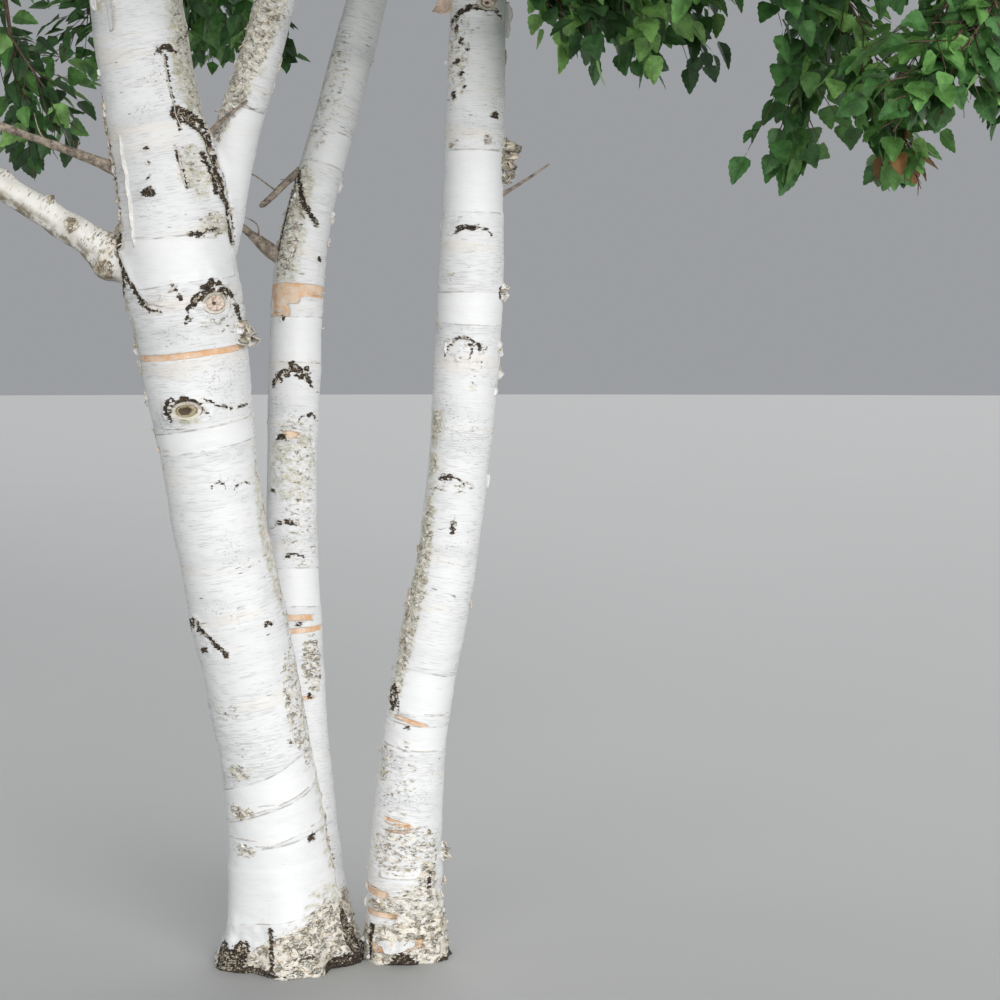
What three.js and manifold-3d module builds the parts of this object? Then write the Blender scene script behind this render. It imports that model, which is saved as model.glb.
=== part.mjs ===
// A paper birch clump: three white stems from one root, the left one forked above head height,
// with boughs and a full crown of separate foliage masses.
// Millimetres, Z up. The ground is z = 0 and the origin is under the middle of the left stem,
// the main one. +X is to the viewer's right and -Y is towards the viewer.

import * as THREE from "three";
import { mergeVertices } from "three/addons/utils/BufferGeometryUtils.js";
import Module from "manifold-3d";

const wasm = await Module();
wasm.setup();

// Driving dimensions of the stems. Each path is [x, y, z, radius] from the flat cut at the ground
// to where the top foliage begins, and the flare widens the foot by lobes of root.
const STEMS = {
  trunk_left: {
    path: [
      [0, 0, 0, 126],
      [-33, -42, 420, 124],
      [-161, -117, 1170, 121],
      [-240, -180, 1800, 136],
      [-268, -202, 2030, 128],
      [-306, -222, 2230, 116],
      [-348, -252, 2550, 113],
      [-600, -340, 4300, 84],
      [-900, -400, 8250, 17],
    ],
    flare: { out: 64, height: 120, lobes: 5, turn: 0.4 },
  },
  trunk_left_fork: {
    path: [
      [-160, -128, 1780, 38],
      [-140, -134, 1913, 51],
      [-101, -153, 2133, 58],
      [-33, -174, 2340, 52],
      [16, -186, 2520, 52],
      [240, -120, 4300, 40],
      [330, 60, 8000, 15],
    ],
    flare: { out: 0, height: 1, lobes: 1, turn: 0 },
  },
  trunk_back: {
    path: [
      [66, 165, 0, 76],
      [20, 214, 540, 71],
      [-12, 258, 1150, 68],
      [-6, 290, 1500, 70],
      [20, 322, 1900, 67],
      [104, 348, 2220, 60],
      [190, 378, 2550, 59],
      [560, 680, 4300, 46],
      [860, 1120, 7350, 15],
    ],
    flare: { out: 26, height: 100, lobes: 4, turn: 1.1 },
  },
  trunk_right: {
    path: [
      [302, 30, 0, 95],
      [315, 18, 404, 89],
      [352, 8, 724, 84],
      [415, -1, 1048, 79],
      [472, -17, 1600, 83],
      [486, -29, 1930, 79],
      [499, -43, 2450, 70],
      [660, -200, 4300, 54],
      [980, -500, 7700, 16],
    ],
    flare: { out: 20, height: 100, lobes: 4, turn: 2.3 },
  },
};
const FLARE_LOBE = 0.22; // share of the flare that swells and sinks round the foot
const STEM_SIDES = 16;
const STEM_STEPS = 18;
const STEM_STEP_GROWTH = 1.5; // rings lie closer together near the ground
const JOIN_GAP = 0.35; // how far a limb stays off the stem it grows from
const CUTTER_OVERRUN = 40; // how far a cutting stem runs on past its ends
const WELD = 1e-3; // corners closer together than this are one

// Driving dimensions of the boughs.
const BOUGH_SIDES = 6;
const BOUGH_STEPS = 5;
const BOUGH_SHARE = 0.52; // bough radius at its foot, as a share of the stem's radius there
const BOUGH_TIP_SHARE = 0.5; // tip radius, as a share of the foot's
const BOUGH_LEAST_TIP = 17;
const BOUGH_LEAST_RADIUS = 24;
const BOUGH_STAGGER = 170; // between the feet of boughs that follow each other round a ring
const BOUGH_STAGGER_TURN = 3; // after so many boughs the heights begin again
const BOUGH_LIFT = { over: 0.35, least: 0.25, most: 0.9 }; // how steeply a bough leaves its stem
const BOUGH_BEND = { foot: 0.34, end: 0.3 }; // reach of the curve's two handles, in bough lengths
const BOUGH_STEP_GROWTH = 1.3; // its rings lie closer together near the stem
const COLLAR_OUT = 0.7; // swelling where a bough leaves its stem, as a share of its radius
const COLLAR_LENGTH = 110;
const COLLAR_START = 0.8; // where the swelling begins to die away, in radii of the stem

// Dead branches, from a stem at a height to a bare tip.
const DEAD_BRANCHES = [
  {
    name: "dead_branch_left",
    from: "trunk_left",
    height: 1985,
    end: [-905, -290, 2225],
    footRadius: 12,
    tip: 7,
    lift: 0.45,
  },
  {
    name: "dead_branch_low",
    from: "trunk_back",
    height: 1800,
    end: [-150, 296, 1935],
    footRadius: 14,
    tip: 9,
    lift: 0.9,
  },
  {
    name: "dead_branch_high",
    from: "trunk_back",
    height: 2090,
    end: [-96, 290, 1985],
    footRadius: 9,
    tip: 8,
    lift: 0.4,
  },
];

// Driving dimensions of the crown: rings of foliage masses, each at a distance out from the stem
// that carries it, on a bearing in degrees from +X. A bough leaves its stem by rise below its mass.
const RINGS = [
  {
    name: "lower",
    z: 3380,
    out: 1480,
    radius: 980,
    flat: 0.72,
    rise: 640,
    masses: [
      ["trunk_right", 2],
      ["trunk_back", 46],
      ["trunk_back", 130],
      ["trunk_left", 238],
      ["trunk_right", 284],
    ],
  },
  {
    name: "middle",
    z: 4760,
    out: 1560,
    radius: 1100,
    flat: 0.76,
    rise: 980,
    masses: [
      ["trunk_right", 40],
      ["trunk_back", 96],
      ["trunk_left", 128],
      ["trunk_left", 200],
      ["trunk_left_fork", 266],
      ["trunk_right", 324],
    ],
  },
  {
    name: "upper",
    z: 6250,
    out: 1220,
    radius: 1020,
    flat: 0.82,
    rise: 1000,
    masses: [
      ["trunk_right", 12],
      ["trunk_back", 84],
      ["trunk_left", 112],
      ["trunk_left", 212],
      ["trunk_right", 272],
    ],
  },
  {
    name: "high",
    z: 7520,
    out: 860,
    radius: 860,
    flat: 0.9,
    rise: 800,
    masses: [
      ["trunk_left", 196],
      ["trunk_left_fork", 100],
      ["trunk_right", 318],
    ],
  },
];
const RING_SWAY = 130; // how far the masses of a ring stand above and below its height
const RING_SWAY_TURN = 2.3; // radians of that rise and fall from one mass to the next
// Masses that hang where the branches of this one clump bring them. inlet is the height where the
// bough comes in, from -1 at the bottom of the mass to 1 at its top, and lift how steeply it starts.
const SINGLES = [
  {
    name: "left",
    centre: [-2250, -200, 2690],
    radius: 800,
    flat: 0.74,
    from: "trunk_left",
    height: 1725,
    footRadius: 40,
    lift: 0.58,
  },
  {
    name: "low_left",
    centre: [-1020, 340, 2530],
    radius: 600,
    flat: 0.8,
    from: "trunk_left",
    height: 2620,
    footRadius: 24,
    inlet: 0.35,
  },
  {
    name: "low_right",
    centre: [1290, -330, 2560],
    radius: 690,
    flat: 0.8,
    from: "trunk_right",
    height: 2585,
    footRadius: 26,
    inlet: 0.3,
  },
];
const INLET = -0.3;
const INLET_OUT = 0.84; // how far out from the mass's middle the bough comes in, in radii
const TOP_RADIUS = 960;
const TOP_FLAT = 0.95;
const TOP_RISE = 0.7; // how far a top mass's centre lies above the stem's tip, in radii

// Driving dimensions of a foliage mass, as shares of its radius where they have no unit.
const STEM_REACH = 1.86; // length of a mass's own stem, which runs on the way its bough ends
const TOP_STEM_REACH = 1.786; // and of the upright one of a mass at a stem's tip
const STEM_DROOP = 0.16;
const STEM_AIM = 0.9; // share of the droop that the stem makes up for by pointing higher
const STEM_TIP_RADIUS = 12;
const STEM_TIP_GAP = 0.3; // between a bough's end face and the mass's stem
const STEM_LEAF_AT = 0.97; // where the leaf at the end of the mass's stem is rooted
const TWIGS = 6;
const TWIG_FIRST = 0.14; // where the twigs stand along the mass's stem
const TWIG_LAST = 0.92;
const TWIG_SPREAD = 1.05; // angle between twig and stem, radians
const TWIG_TURN_SWAY = 0.5; // how far a twig strays from its turn round the stem, radians
const TWIG_DROOP = 0.22;
const TWIG_REACH = 0.6; // how far a twig goes towards the edge of the mass's space
const TWIG_SHARE = 0.62; // of the radius of the mass's stem where the twig stands
const TWIG_SIZES = [1, 0.8, 0.6, 0.42]; // tried in turn until one fits
const TWIG_TEST_POINTS = [0.35, 0.6, 0.8, 1];
const GOLDEN_ANGLE = 2.39996;
const LEAF_LENGTH = 0.64;
const LEAF_LENGTH_RANGE = { least: 0.82, spread: 0.36 };
const LEAF_SIZES = [1, 0.84, 0.7, 0.62];
const LEAF_SIDEWAYS = { least: 0.75, spread: 0.5 }; // how far a side leaf turns off its twig
const LEAF_WIDTH = 0.8; // of its length
const LEAF_THICKNESS = 0.026; // of its length
const LEAF_WIDEST = 0.42; // where it is widest, from the root
const LEAF_STATIONS = [0.3, 0.64]; // side leaves along a twig; one more stands at the tip
const LEAF_SINK = 0.4; // how far a leaf's root runs past the middle of its twig, in twig radii
const END_LEAF_LAP = 75; // how far the leaf at a twig's tip runs back along it
const END_LEAF_SEAT = 3; // and how far its underside lies below the tip
const LEAF_DROOP = { least: 0.3, spread: 0.6 };
const LEAF_ROLL = 2.6; // range of the turn about its own length, radians
const MASS_STEM_SIDES = 4;
const MASS_STEM_STEPS = 3;
const TWIG_SIDES = 3;
const LIMB_CLEARANCE = 78; // foliage keeps this far off stems and boughs
const STEM_TEST_STEP = 90; // spacing of the points that stand for stems and boughs in that test
const BOUGH_TEST_STEP = 60;
const SPACE_CLEARANCE = 8; // and this far off the next mass's space
const SPACE_EDGE = 1.07; // how far past the edge of its space a tip may reach, 1 being the edge
const LOWEST_FOLIAGE = 1950;
const SEED_STEP = 977; // every mass has its own seed

const BARK_WHITE = new THREE.MeshStandardMaterial({ color: 0xe9e6e0, roughness: 0.62 });
const BARK_BOUGH = new THREE.MeshStandardMaterial({ color: 0xc9bfae, roughness: 0.7 });
const BARK_DEAD = new THREE.MeshStandardMaterial({ color: 0x8a7a68, roughness: 0.85 });
const FOLIAGE = new THREE.MeshStandardMaterial({ color: 0x3f7a2b, roughness: 0.55 });

const UP = new THREE.Vector3(0, 0, 1);
const EAST = new THREE.Vector3(1, 0, 0);
const vec = (a) => new THREE.Vector3(a[0], a[1], a[2]);

// Solids

function solidOf(geometry) {
  geometry.deleteAttribute("normal");
  geometry.deleteAttribute("uv");
  const merged = mergeVertices(geometry, WELD);
  return new wasm.Manifold(new wasm.Mesh({
    numProp: 3,
    vertProperties: merged.attributes.position.array,
    triVerts: new Uint32Array(merged.index.array),
  }));
}

// The largest body alone: loose scraps and sealed hollows are left out.
function wholePiece(solid) {
  return solid.decompose().reduce((a, b) => (b.volume() > a.volume() ? b : a));
}

function meshOf(name, solid, material) {
  const { vertProperties, triVerts } = solid.getMesh();
  const geometry = new THREE.BufferGeometry();
  geometry.setAttribute("position", new THREE.BufferAttribute(new Float32Array(vertProperties), 3));
  geometry.setIndex(new THREE.BufferAttribute(new Uint32Array(triVerts), 1));
  geometry.computeVertexNormals();
  const mesh = new THREE.Mesh(geometry, material);
  mesh.name = name;
  return mesh;
}

// A closed tube. place(t, angle, share) gives the point at t from 0 to 1 along it, where share is
// 1 on the wall and 0 in the middle of an end.
function tube(sides, steps, place) {
  const geometry = new THREE.CylinderGeometry(1, 1, 1, sides, steps);
  const p = geometry.attributes.position;
  for (let i = 0; i < p.count; i++) {
    const share = Math.min(1, Math.hypot(p.getX(i), p.getZ(i)));
    const point = place(p.getY(i) + 0.5, Math.atan2(-p.getZ(i), p.getX(i)), share);
    p.setXYZ(i, point.x, point.y, point.z);
  }
  return solidOf(geometry);
}

// Two directions square to a given one, so that side, up and along are right-handed.
function frameOf(along) {
  const isSteep = Math.abs(along.z) > 0.9;
  const side = new THREE.Vector3().crossVectors(along, isSteep ? EAST : UP).normalize();
  return { side, up: new THREE.Vector3().crossVectors(along, side).normalize() };
}

// A solid minus others, as its largest body alone.
function cutBy(solid, others) {
  return wholePiece(others.reduce((rest, other) => rest.subtract(other), solid));
}

// Stems

// Slope of one column of a path at waypoint i, as of the parabola through its neighbours.
function slopeAt(path, i, column) {
  const step = (k) => (path[k + 1][column] - path[k][column]) / (path[k + 1][2] - path[k][2]);
  if (i === 0) return step(0);
  if (i === path.length - 1) return step(i - 1);
  const before = path[i][2] - path[i - 1][2];
  const after = path[i + 1][2] - path[i][2];
  return (step(i - 1) * after + step(i) * before) / (before + after);
}

// Middle and radius of a stem at height z, on a smooth curve through its waypoints.
function stemAt(stem, z) {
  const path = stem.path;
  let i = 0;
  while (i < path.length - 2 && z > path[i + 1][2]) i++;
  const span = path[i + 1][2] - path[i][2];
  const t = (z - path[i][2]) / span;
  const smooth = (column) => {
    const a = path[i][column];
    const b = path[i + 1][column];
    const rise = slopeAt(path, i, column) * span;
    const fall = slopeAt(path, i + 1, column) * span;
    return a + t * (rise + t * (3 * (b - a) - 2 * rise - fall + t * (rise + fall - 2 * (b - a))));
  };
  return { x: smooth(0), y: smooth(1), radius: smooth(3) };
}

// Radius of a stem at height z and an angle round it, with the lobed flare of its foot.
function stemRadius(stem, z, angle) {
  const { out, height, lobes, turn } = stem.flare;
  const lobe = 1 + FLARE_LOBE * Math.cos(lobes * angle + turn);
  return stemAt(stem, z).radius + out * lobe * Math.exp(-Math.max(z, 0) / height);
}

// Heights of a stem's rings, closer together near the ground.
function ringHeights(stem) {
  const low = stem.path[0][2];
  const high = stem.path.at(-1)[2];
  return Array.from({ length: STEM_STEPS + 1 }, (_, k) => (
    low + (high - low) * (k / STEM_STEPS) ** STEM_STEP_GROWTH));
}

// A stem fattened by grow, from its own rings or from longer ones past both of its ends.
function stemSolid(stem, grow, heights) {
  return tube(STEM_SIDES, heights.length - 1, (t, angle, share) => {
    const z = heights[Math.round(t * (heights.length - 1))];
    const kept = THREE.MathUtils.clamp(z, stem.path[0][2], stem.path.at(-1)[2]);
    const { x, y } = stemAt(stem, kept);
    const r = (stemRadius(stem, kept, angle) + grow) * share;
    return new THREE.Vector3(x + r * Math.cos(angle), y + r * Math.sin(angle), z);
  });
}

// The same stem a little fatter and longer, for cutting its neighbours clear of it.
function stemCutter(stem) {
  const heights = ringHeights(stem);
  const longer = [heights[0] - CUTTER_OVERRUN, ...heights, heights.at(-1) + CUTTER_OVERRUN];
  return stemSolid(stem, JOIN_GAP, longer);
}

// Boughs

// A bough from a stem at a height to the point where its foliage begins. It leaves the stem
// steeply, arches over and comes in along the direction that the foliage's stem takes on.
function boughOf(stem, height, end, endDirection, { footRadius, lift }) {
  const at = stemAt(stem, height);
  const foot = new THREE.Vector3(at.x, at.y, height);
  const reach = foot.distanceTo(end);
  const outward = end.clone().sub(foot).setZ(0).normalize();
  const rise = (end.z - foot.z) / reach + BOUGH_LIFT.over;
  const steepness = lift ?? THREE.MathUtils.clamp(rise, BOUGH_LIFT.least, BOUGH_LIFT.most);
  const leave = outward.addScaledVector(UP, steepness).normalize();
  const curve = new THREE.CubicBezierCurve3(
    foot,
    foot.clone().addScaledVector(leave, reach * BOUGH_BEND.foot),
    end.clone().addScaledVector(endDirection, -reach * BOUGH_BEND.end),
    end.clone(),
  );
  const radius = footRadius ?? Math.max(BOUGH_LEAST_RADIUS, at.radius * BOUGH_SHARE);
  const tipRadius = Math.min(radius, Math.max(BOUGH_LEAST_TIP, radius * BOUGH_TIP_SHARE));
  return { curve, reach, radius, tipRadius, stemRadius: at.radius };
}

function boughRadius(bough, t) {
  const past = Math.max(0, t * bough.reach - bough.stemRadius * COLLAR_START);
  const taper = bough.radius + (bough.tipRadius - bough.radius) * t;
  return taper + bough.radius * COLLAR_OUT * (1 - t) * Math.exp(-past / COLLAR_LENGTH);
}

function boughSolid(bough) {
  return tube(BOUGH_SIDES, BOUGH_STEPS, (s, angle, share) => {
    const t = s ** BOUGH_STEP_GROWTH;
    const { side, up } = frameOf(bough.curve.getTangent(t));
    const r = boughRadius(bough, t) * share;
    return bough.curve.getPoint(t)
      .addScaledVector(side, r * Math.cos(angle))
      .addScaledVector(up, r * Math.sin(angle));
  });
}

// Foliage masses

// Seeded numbers from 0 to 1, the same on every run.
function seeded(seed) {
  let state = seed >>> 0;
  return () => {
    state = (Math.imul(state, 1664525) + 1013904223) >>> 0;
    return state / 2 ** 32;
  };
}

// How far a point is from the middle of a mass, where 1 is the edge of its space.
function depthIn(mass, p) {
  const across = Math.hypot(p.x - mass.centre.x, p.y - mass.centre.y) / mass.radius;
  return Math.hypot(across, (p.z - mass.centre.z) / (mass.radius * mass.flat));
}

// Whether a point lies in a mass's own space: its ellipsoid, cut off flat halfway to each neighbour.
function inSpace(mass, masses, p) {
  if (depthIn(mass, p) > SPACE_EDGE || p.z < LOWEST_FOLIAGE) return false;
  const own = p.distanceToSquared(mass.centre) - mass.radius ** 2;
  return masses.every((other) => {
    if (other === mass) return true;
    const apart = mass.centre.distanceTo(other.centre);
    return p.distanceToSquared(other.centre) - other.radius ** 2 - own > 2 * apart * SPACE_CLEARANCE;
  });
}

function clearOfLimbs(limbPoints, p) {
  return limbPoints.every((q) => p.distanceTo(q.point) > q.radius + LIMB_CLEARANCE);
}

// Point on a mass's stem, which runs on from its bough and droops towards its end.
function massStemAt(mass, t) {
  return mass.foot.clone()
    .addScaledVector(mass.direction, mass.length * t)
    .addScaledVector(UP, -mass.droop * mass.length * t * t);
}

function massStemRadius(mass, t) {
  return mass.stemRadius + (STEM_TIP_RADIUS - mass.stemRadius) * t;
}

function massStemTangent(mass, t) {
  return mass.direction.clone().addScaledVector(UP, -2 * mass.droop * t).normalize();
}

// Distance from a point inside a mass's ellipsoid to its edge along a direction.
function distanceToEdge(mass, from, direction) {
  const squash = new THREE.Vector3(1, 1, 1 / mass.flat);
  const p = from.clone().sub(mass.centre).multiply(squash);
  const d = direction.clone().multiply(squash);
  const a = d.lengthSq();
  const b = p.dot(d);
  return (-b + Math.sqrt(Math.max(0, b * b - a * (p.lengthSq() - mass.radius ** 2)))) / a;
}

// One leaf spray: a pointed kite with its root, direction and the way its flat side faces. A side
// leaf droops from its twig, and an end leaf runs straight on from it.
function leafOf(mass, at, heading, twigRadius, random) {
  const isEnd = twigRadius === 0;
  const droop = isEnd ? 0 : LEAF_DROOP.least + LEAF_DROOP.spread * random();
  const direction = heading.clone().addScaledVector(UP, -droop).normalize();
  const { side, up } = frameOf(direction);
  const roll = (random() - 0.5) * LEAF_ROLL;
  const across = side.multiplyScalar(Math.cos(roll)).addScaledVector(up, Math.sin(roll));
  const face = new THREE.Vector3().crossVectors(direction, across);
  const root = at.clone()
    .addScaledVector(direction, isEnd ? -END_LEAF_LAP : -LEAF_SINK * twigRadius)
    .addScaledVector(face, isEnd ? -END_LEAF_SEAT : 0);
  const { least, spread } = LEAF_LENGTH_RANGE;
  const length = mass.radius * LEAF_LENGTH * (least + spread * random());
  return { root, direction, across, face, length };
}

function leafCorners(leaf) {
  const half = leaf.length * LEAF_WIDTH * 0.5;
  const middle = leaf.root.clone().addScaledVector(leaf.direction, leaf.length * LEAF_WIDEST);
  return {
    middle,
    tip: leaf.root.clone().addScaledVector(leaf.direction, leaf.length),
    left: middle.clone().addScaledVector(leaf.across, -half),
    right: middle.clone().addScaledVector(leaf.across, half),
  };
}

// Points all over a leaf, close enough together that no limb slips between them.
function leafPoints(leaf) {
  const { middle, tip, left, right } = leafCorners(leaf);
  const near = leaf.root.clone().addScaledVector(leaf.direction, END_LEAF_LAP);
  const halfway = (a, b) => a.clone().lerp(b, 0.5);
  return [near, middle, tip, left, right, halfway(middle, tip), halfway(left, tip), halfway(right, tip),
    halfway(left, middle), halfway(right, middle), halfway(left, near), halfway(right, near)];
}

// The first of some sizes of a twig or leaf that fits the space and stays clear, or null.
function fitting(sizes, make, points, allowed) {
  for (const size of sizes) {
    const made = make(size);
    if (points(made).every(allowed)) return made;
  }
  return null;
}

// The seeded rule of a mass: twigs round its stem by the golden angle, shorter where their room
// is, and leaves along each twig on alternate sides, with one at its tip.
function growMass(mass, masses, limbPoints) {
  const random = seeded(mass.seed);
  const allowed = (p) => inSpace(mass, masses, p) && clearOfLimbs(limbPoints, p);
  const twigs = [];
  const leaves = [];
  const addLeaf = (at, heading, twigRadius) => {
    const whole = leafOf(mass, at, heading, twigRadius, random);
    const sized = (size) => ({ ...whole, length: whole.length * size });
    const leaf = fitting(LEAF_SIZES, sized, leafPoints, allowed);
    if (leaf) leaves.push(leaf);
  };
  const turn = random() * 2 * Math.PI;
  for (let k = 0; k < TWIGS; k++) {
    const t = TWIG_FIRST + (TWIG_LAST - TWIG_FIRST) * k / (TWIGS - 1);
    const from = massStemAt(mass, t);
    const along = massStemTangent(mass, t);
    const { side, up } = frameOf(along);
    const angle = turn + k * GOLDEN_ANGLE + TWIG_TURN_SWAY * (random() - 0.5);
    const round = side.multiplyScalar(Math.cos(angle)).addScaledVector(up, Math.sin(angle));
    const direction = along.clone().multiplyScalar(Math.cos(TWIG_SPREAD))
      .addScaledVector(round, Math.sin(TWIG_SPREAD))
      .addScaledVector(UP, -TWIG_DROOP).normalize();
    const reach = distanceToEdge(mass, from, direction) * TWIG_REACH;
    const radius = TWIG_SHARE * massStemRadius(mass, t);
    const pointOn = (length, s) => from.clone().addScaledVector(direction, length * s);
    const sized = (size) => ({ from, direction, radius, length: reach * size });
    const twigPoints = (w) => TWIG_TEST_POINTS.map((s) => pointOn(w.length, s));
    const twig = fitting(TWIG_SIZES, sized, twigPoints, allowed);
    const sideways = new THREE.Vector3().crossVectors(direction, UP).normalize();
    const headings = LEAF_STATIONS.map((_, n) => {
      const turned = LEAF_SIDEWAYS.least + LEAF_SIDEWAYS.spread * random();
      return direction.clone()
        .addScaledVector(sideways, (k + n) % 2 ? turned : -turned)
        .normalize();
    });
    if (!twig) continue;
    twigs.push(twig);
    LEAF_STATIONS.forEach((s, n) => {
      addLeaf(pointOn(twig.length, s), headings[n], radius * (1 - s));
    });
    addLeaf(pointOn(twig.length, 1), direction, 0);
  }
  addLeaf(massStemAt(mass, STEM_LEAF_AT), massStemTangent(mass, 1), STEM_TIP_RADIUS);
  return { twigs, leaves };
}

function massStemSolid(mass) {
  return tube(MASS_STEM_SIDES, MASS_STEM_STEPS, (t, angle, share) => {
    const { side, up } = frameOf(massStemTangent(mass, t));
    const r = massStemRadius(mass, t) * share;
    return massStemAt(mass, t)
      .addScaledVector(side, r * Math.cos(angle))
      .addScaledVector(up, r * Math.sin(angle));
  });
}

function twigSolid(twig) {
  const geometry = new THREE.CylinderGeometry(0, twig.radius, twig.length, TWIG_SIDES, 1);
  const turn = new THREE.Quaternion().setFromUnitVectors(new THREE.Vector3(0, 1, 0), twig.direction);
  geometry.translate(0, twig.length / 2, 0);
  geometry.applyQuaternion(turn);
  geometry.translate(twig.from.x, twig.from.y, twig.from.z);
  return solidOf(geometry);
}

// The kite: a flat underside and a low ridge over it, six faces in all. Its corners are the tip,
// one side, the root, the other side and the top of the ridge.
const LEAF_CORNERS = [1, 0, 0, 0, 1, 0, -1, 0, 0, 0, -1, 0, 0, 0, 1];
const LEAF_FACES = [0, 1, 4, 1, 2, 4, 2, 3, 4, 3, 0, 4, 0, 2, 1, 0, 3, 2];

function leafSolid(leaf) {
  const geometry = new THREE.PolyhedronGeometry(LEAF_CORNERS, LEAF_FACES, 1, 0);
  const p = geometry.attributes.position;
  for (let i = 0; i < p.count; i++) {
    const along = p.getX(i) > 0 ? 1 - LEAF_WIDEST : LEAF_WIDEST;
    const point = leafCorners(leaf).middle
      .addScaledVector(leaf.direction, p.getX(i) * along * leaf.length)
      .addScaledVector(leaf.across, p.getY(i) * 0.5 * LEAF_WIDTH * leaf.length)
      .addScaledVector(leaf.face, p.getZ(i) * LEAF_THICKNESS * leaf.length);
    p.setXYZ(i, point.x, point.y, point.z);
  }
  return solidOf(geometry);
}

// The plan of the crown: every mass with its place, its space and the stem that carries it.

function ringMasses() {
  return RINGS.flatMap((ring) => ring.masses.map(([from, bearing], i) => {
    const angle = THREE.MathUtils.degToRad(bearing);
    const z = ring.z + RING_SWAY * Math.sin(RING_SWAY_TURN * i);
    const at = stemAt(STEMS[from], z);
    const x = at.x + ring.out * Math.cos(angle);
    const y = at.y + ring.out * Math.sin(angle);
    const centre = new THREE.Vector3(x, y, z);
    const { radius, flat } = ring;
    const height = ring.z - ring.rise + BOUGH_STAGGER * (i % BOUGH_STAGGER_TURN);
    return { name: ring.name + "_" + (i + 1), radius, flat, centre, from, height };
  }));
}

const masses = [
  ...ringMasses(),
  ...SINGLES.map((single) => ({ ...single, centre: vec(single.centre) })),
];

// A mass's bough comes in at the side of its space that faces its stem.
for (const mass of masses) {
  const at = stemAt(STEMS[mass.from], mass.height);
  const inward = new THREE.Vector3(at.x, at.y, mass.height).sub(mass.centre).setZ(0).normalize();
  mass.foot = mass.centre.clone()
    .addScaledVector(inward, mass.radius * INLET_OUT)
    .addScaledVector(UP, mass.radius * mass.flat * (mass.inlet ?? INLET));
  mass.direction = mass.centre.clone()
    .sub(mass.foot)
    .addScaledVector(UP, mass.radius * STEM_DROOP * STEM_AIM)
    .normalize();
  mass.bough = boughOf(STEMS[mass.from], mass.height, mass.foot, mass.direction, mass);
  mass.stemRadius = mass.bough.tipRadius;
}

// The stems themselves end in a mass each.
for (const [name, stem] of Object.entries(STEMS)) {
  const [x, y, z, radius] = stem.path.at(-1);
  const foot = new THREE.Vector3(x, y, z);
  masses.push({
    name: name.replace("trunk", "top"),
    radius: TOP_RADIUS,
    flat: TOP_FLAT,
    foot,
    stemRadius: radius,
    centre: foot.clone().addScaledVector(UP, TOP_RADIUS * TOP_RISE),
    direction: UP.clone(),
  });
}

masses.forEach((mass, i) => {
  mass.seed = SEED_STEP * (i + 1);
  mass.length = mass.radius * (mass.bough ? STEM_REACH : TOP_STEM_REACH);
  mass.droop = mass.bough ? STEM_DROOP : 0;
  mass.foot.addScaledVector(mass.direction, STEM_TIP_GAP);
});

// Points down the middle of every limb, for keeping foliage off them.
const limbPoints = [];
for (const stem of Object.values(STEMS)) {
  for (let z = stem.path[0][2]; z < stem.path.at(-1)[2]; z += STEM_TEST_STEP) {
    const { x, y, radius } = stemAt(stem, z);
    limbPoints.push({ point: new THREE.Vector3(x, y, z), radius });
  }
}
for (const { bough } of masses) {
  if (!bough) continue;
  const count = Math.ceil(bough.reach / BOUGH_TEST_STEP);
  for (let k = 0; k < count; k++) {
    const t = k / count;
    limbPoints.push({ point: bough.curve.getPoint(t), radius: boughRadius(bough, t) });
  }
}

// The tree

const tree = new THREE.Group();
const cutters = Object.values(STEMS).map(stemCutter);

// Each stem grows clear of the ones named before it.
const stems = new THREE.Group();
Object.entries(STEMS).forEach(([name, stem], i) => {
  const solid = cutBy(stemSolid(stem, 0, ringHeights(stem)), cutters.slice(0, i));
  stems.add(meshOf(name, solid, BARK_WHITE));
});
tree.add(stems);

const boughs = new THREE.Group();
for (const { name, bough } of masses) {
  if (bough) boughs.add(meshOf("bough_" + name, cutBy(boughSolid(bough), cutters), BARK_BOUGH));
}
tree.add(boughs);

const foliage = new THREE.Group();
for (const mass of masses) {
  const { twigs, leaves } = growMass(mass, masses, limbPoints);
  const pieces = [massStemSolid(mass), ...twigs.map(twigSolid), ...leaves.map(leafSolid)];
  foliage.add(meshOf("foliage_" + mass.name, wholePiece(wasm.Manifold.union(pieces)), FOLIAGE));
}
tree.add(foliage);

// Dead branches without leaves.
for (const { name, from, height, end, tip, ...shape } of DEAD_BRANCHES) {
  const at = stemAt(STEMS[from], height);
  const tipPoint = vec(end);
  const direction = tipPoint.clone().sub(new THREE.Vector3(at.x, at.y, height)).normalize();
  const branch = { ...boughOf(STEMS[from], height, tipPoint, direction, shape), tipRadius: tip };
  tree.add(meshOf(name, cutBy(boughSolid(branch), cutters), BARK_DEAD));
}

export default tree;
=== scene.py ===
# %% [markdown]
# # A clump of paper birch
# Three white stems stand up from one root and carry one airy crown. This lesson dresses the measured
# model of that tree: papery bark with its marks on the stems, darker bark on the boughs, and real
# twigs and leaves in place of the plain masses. All sizes are in metres, Z is up, and the origin is on
# the ground under the main stem.

# %% Load the measured tree
import itertools
import math

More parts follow.
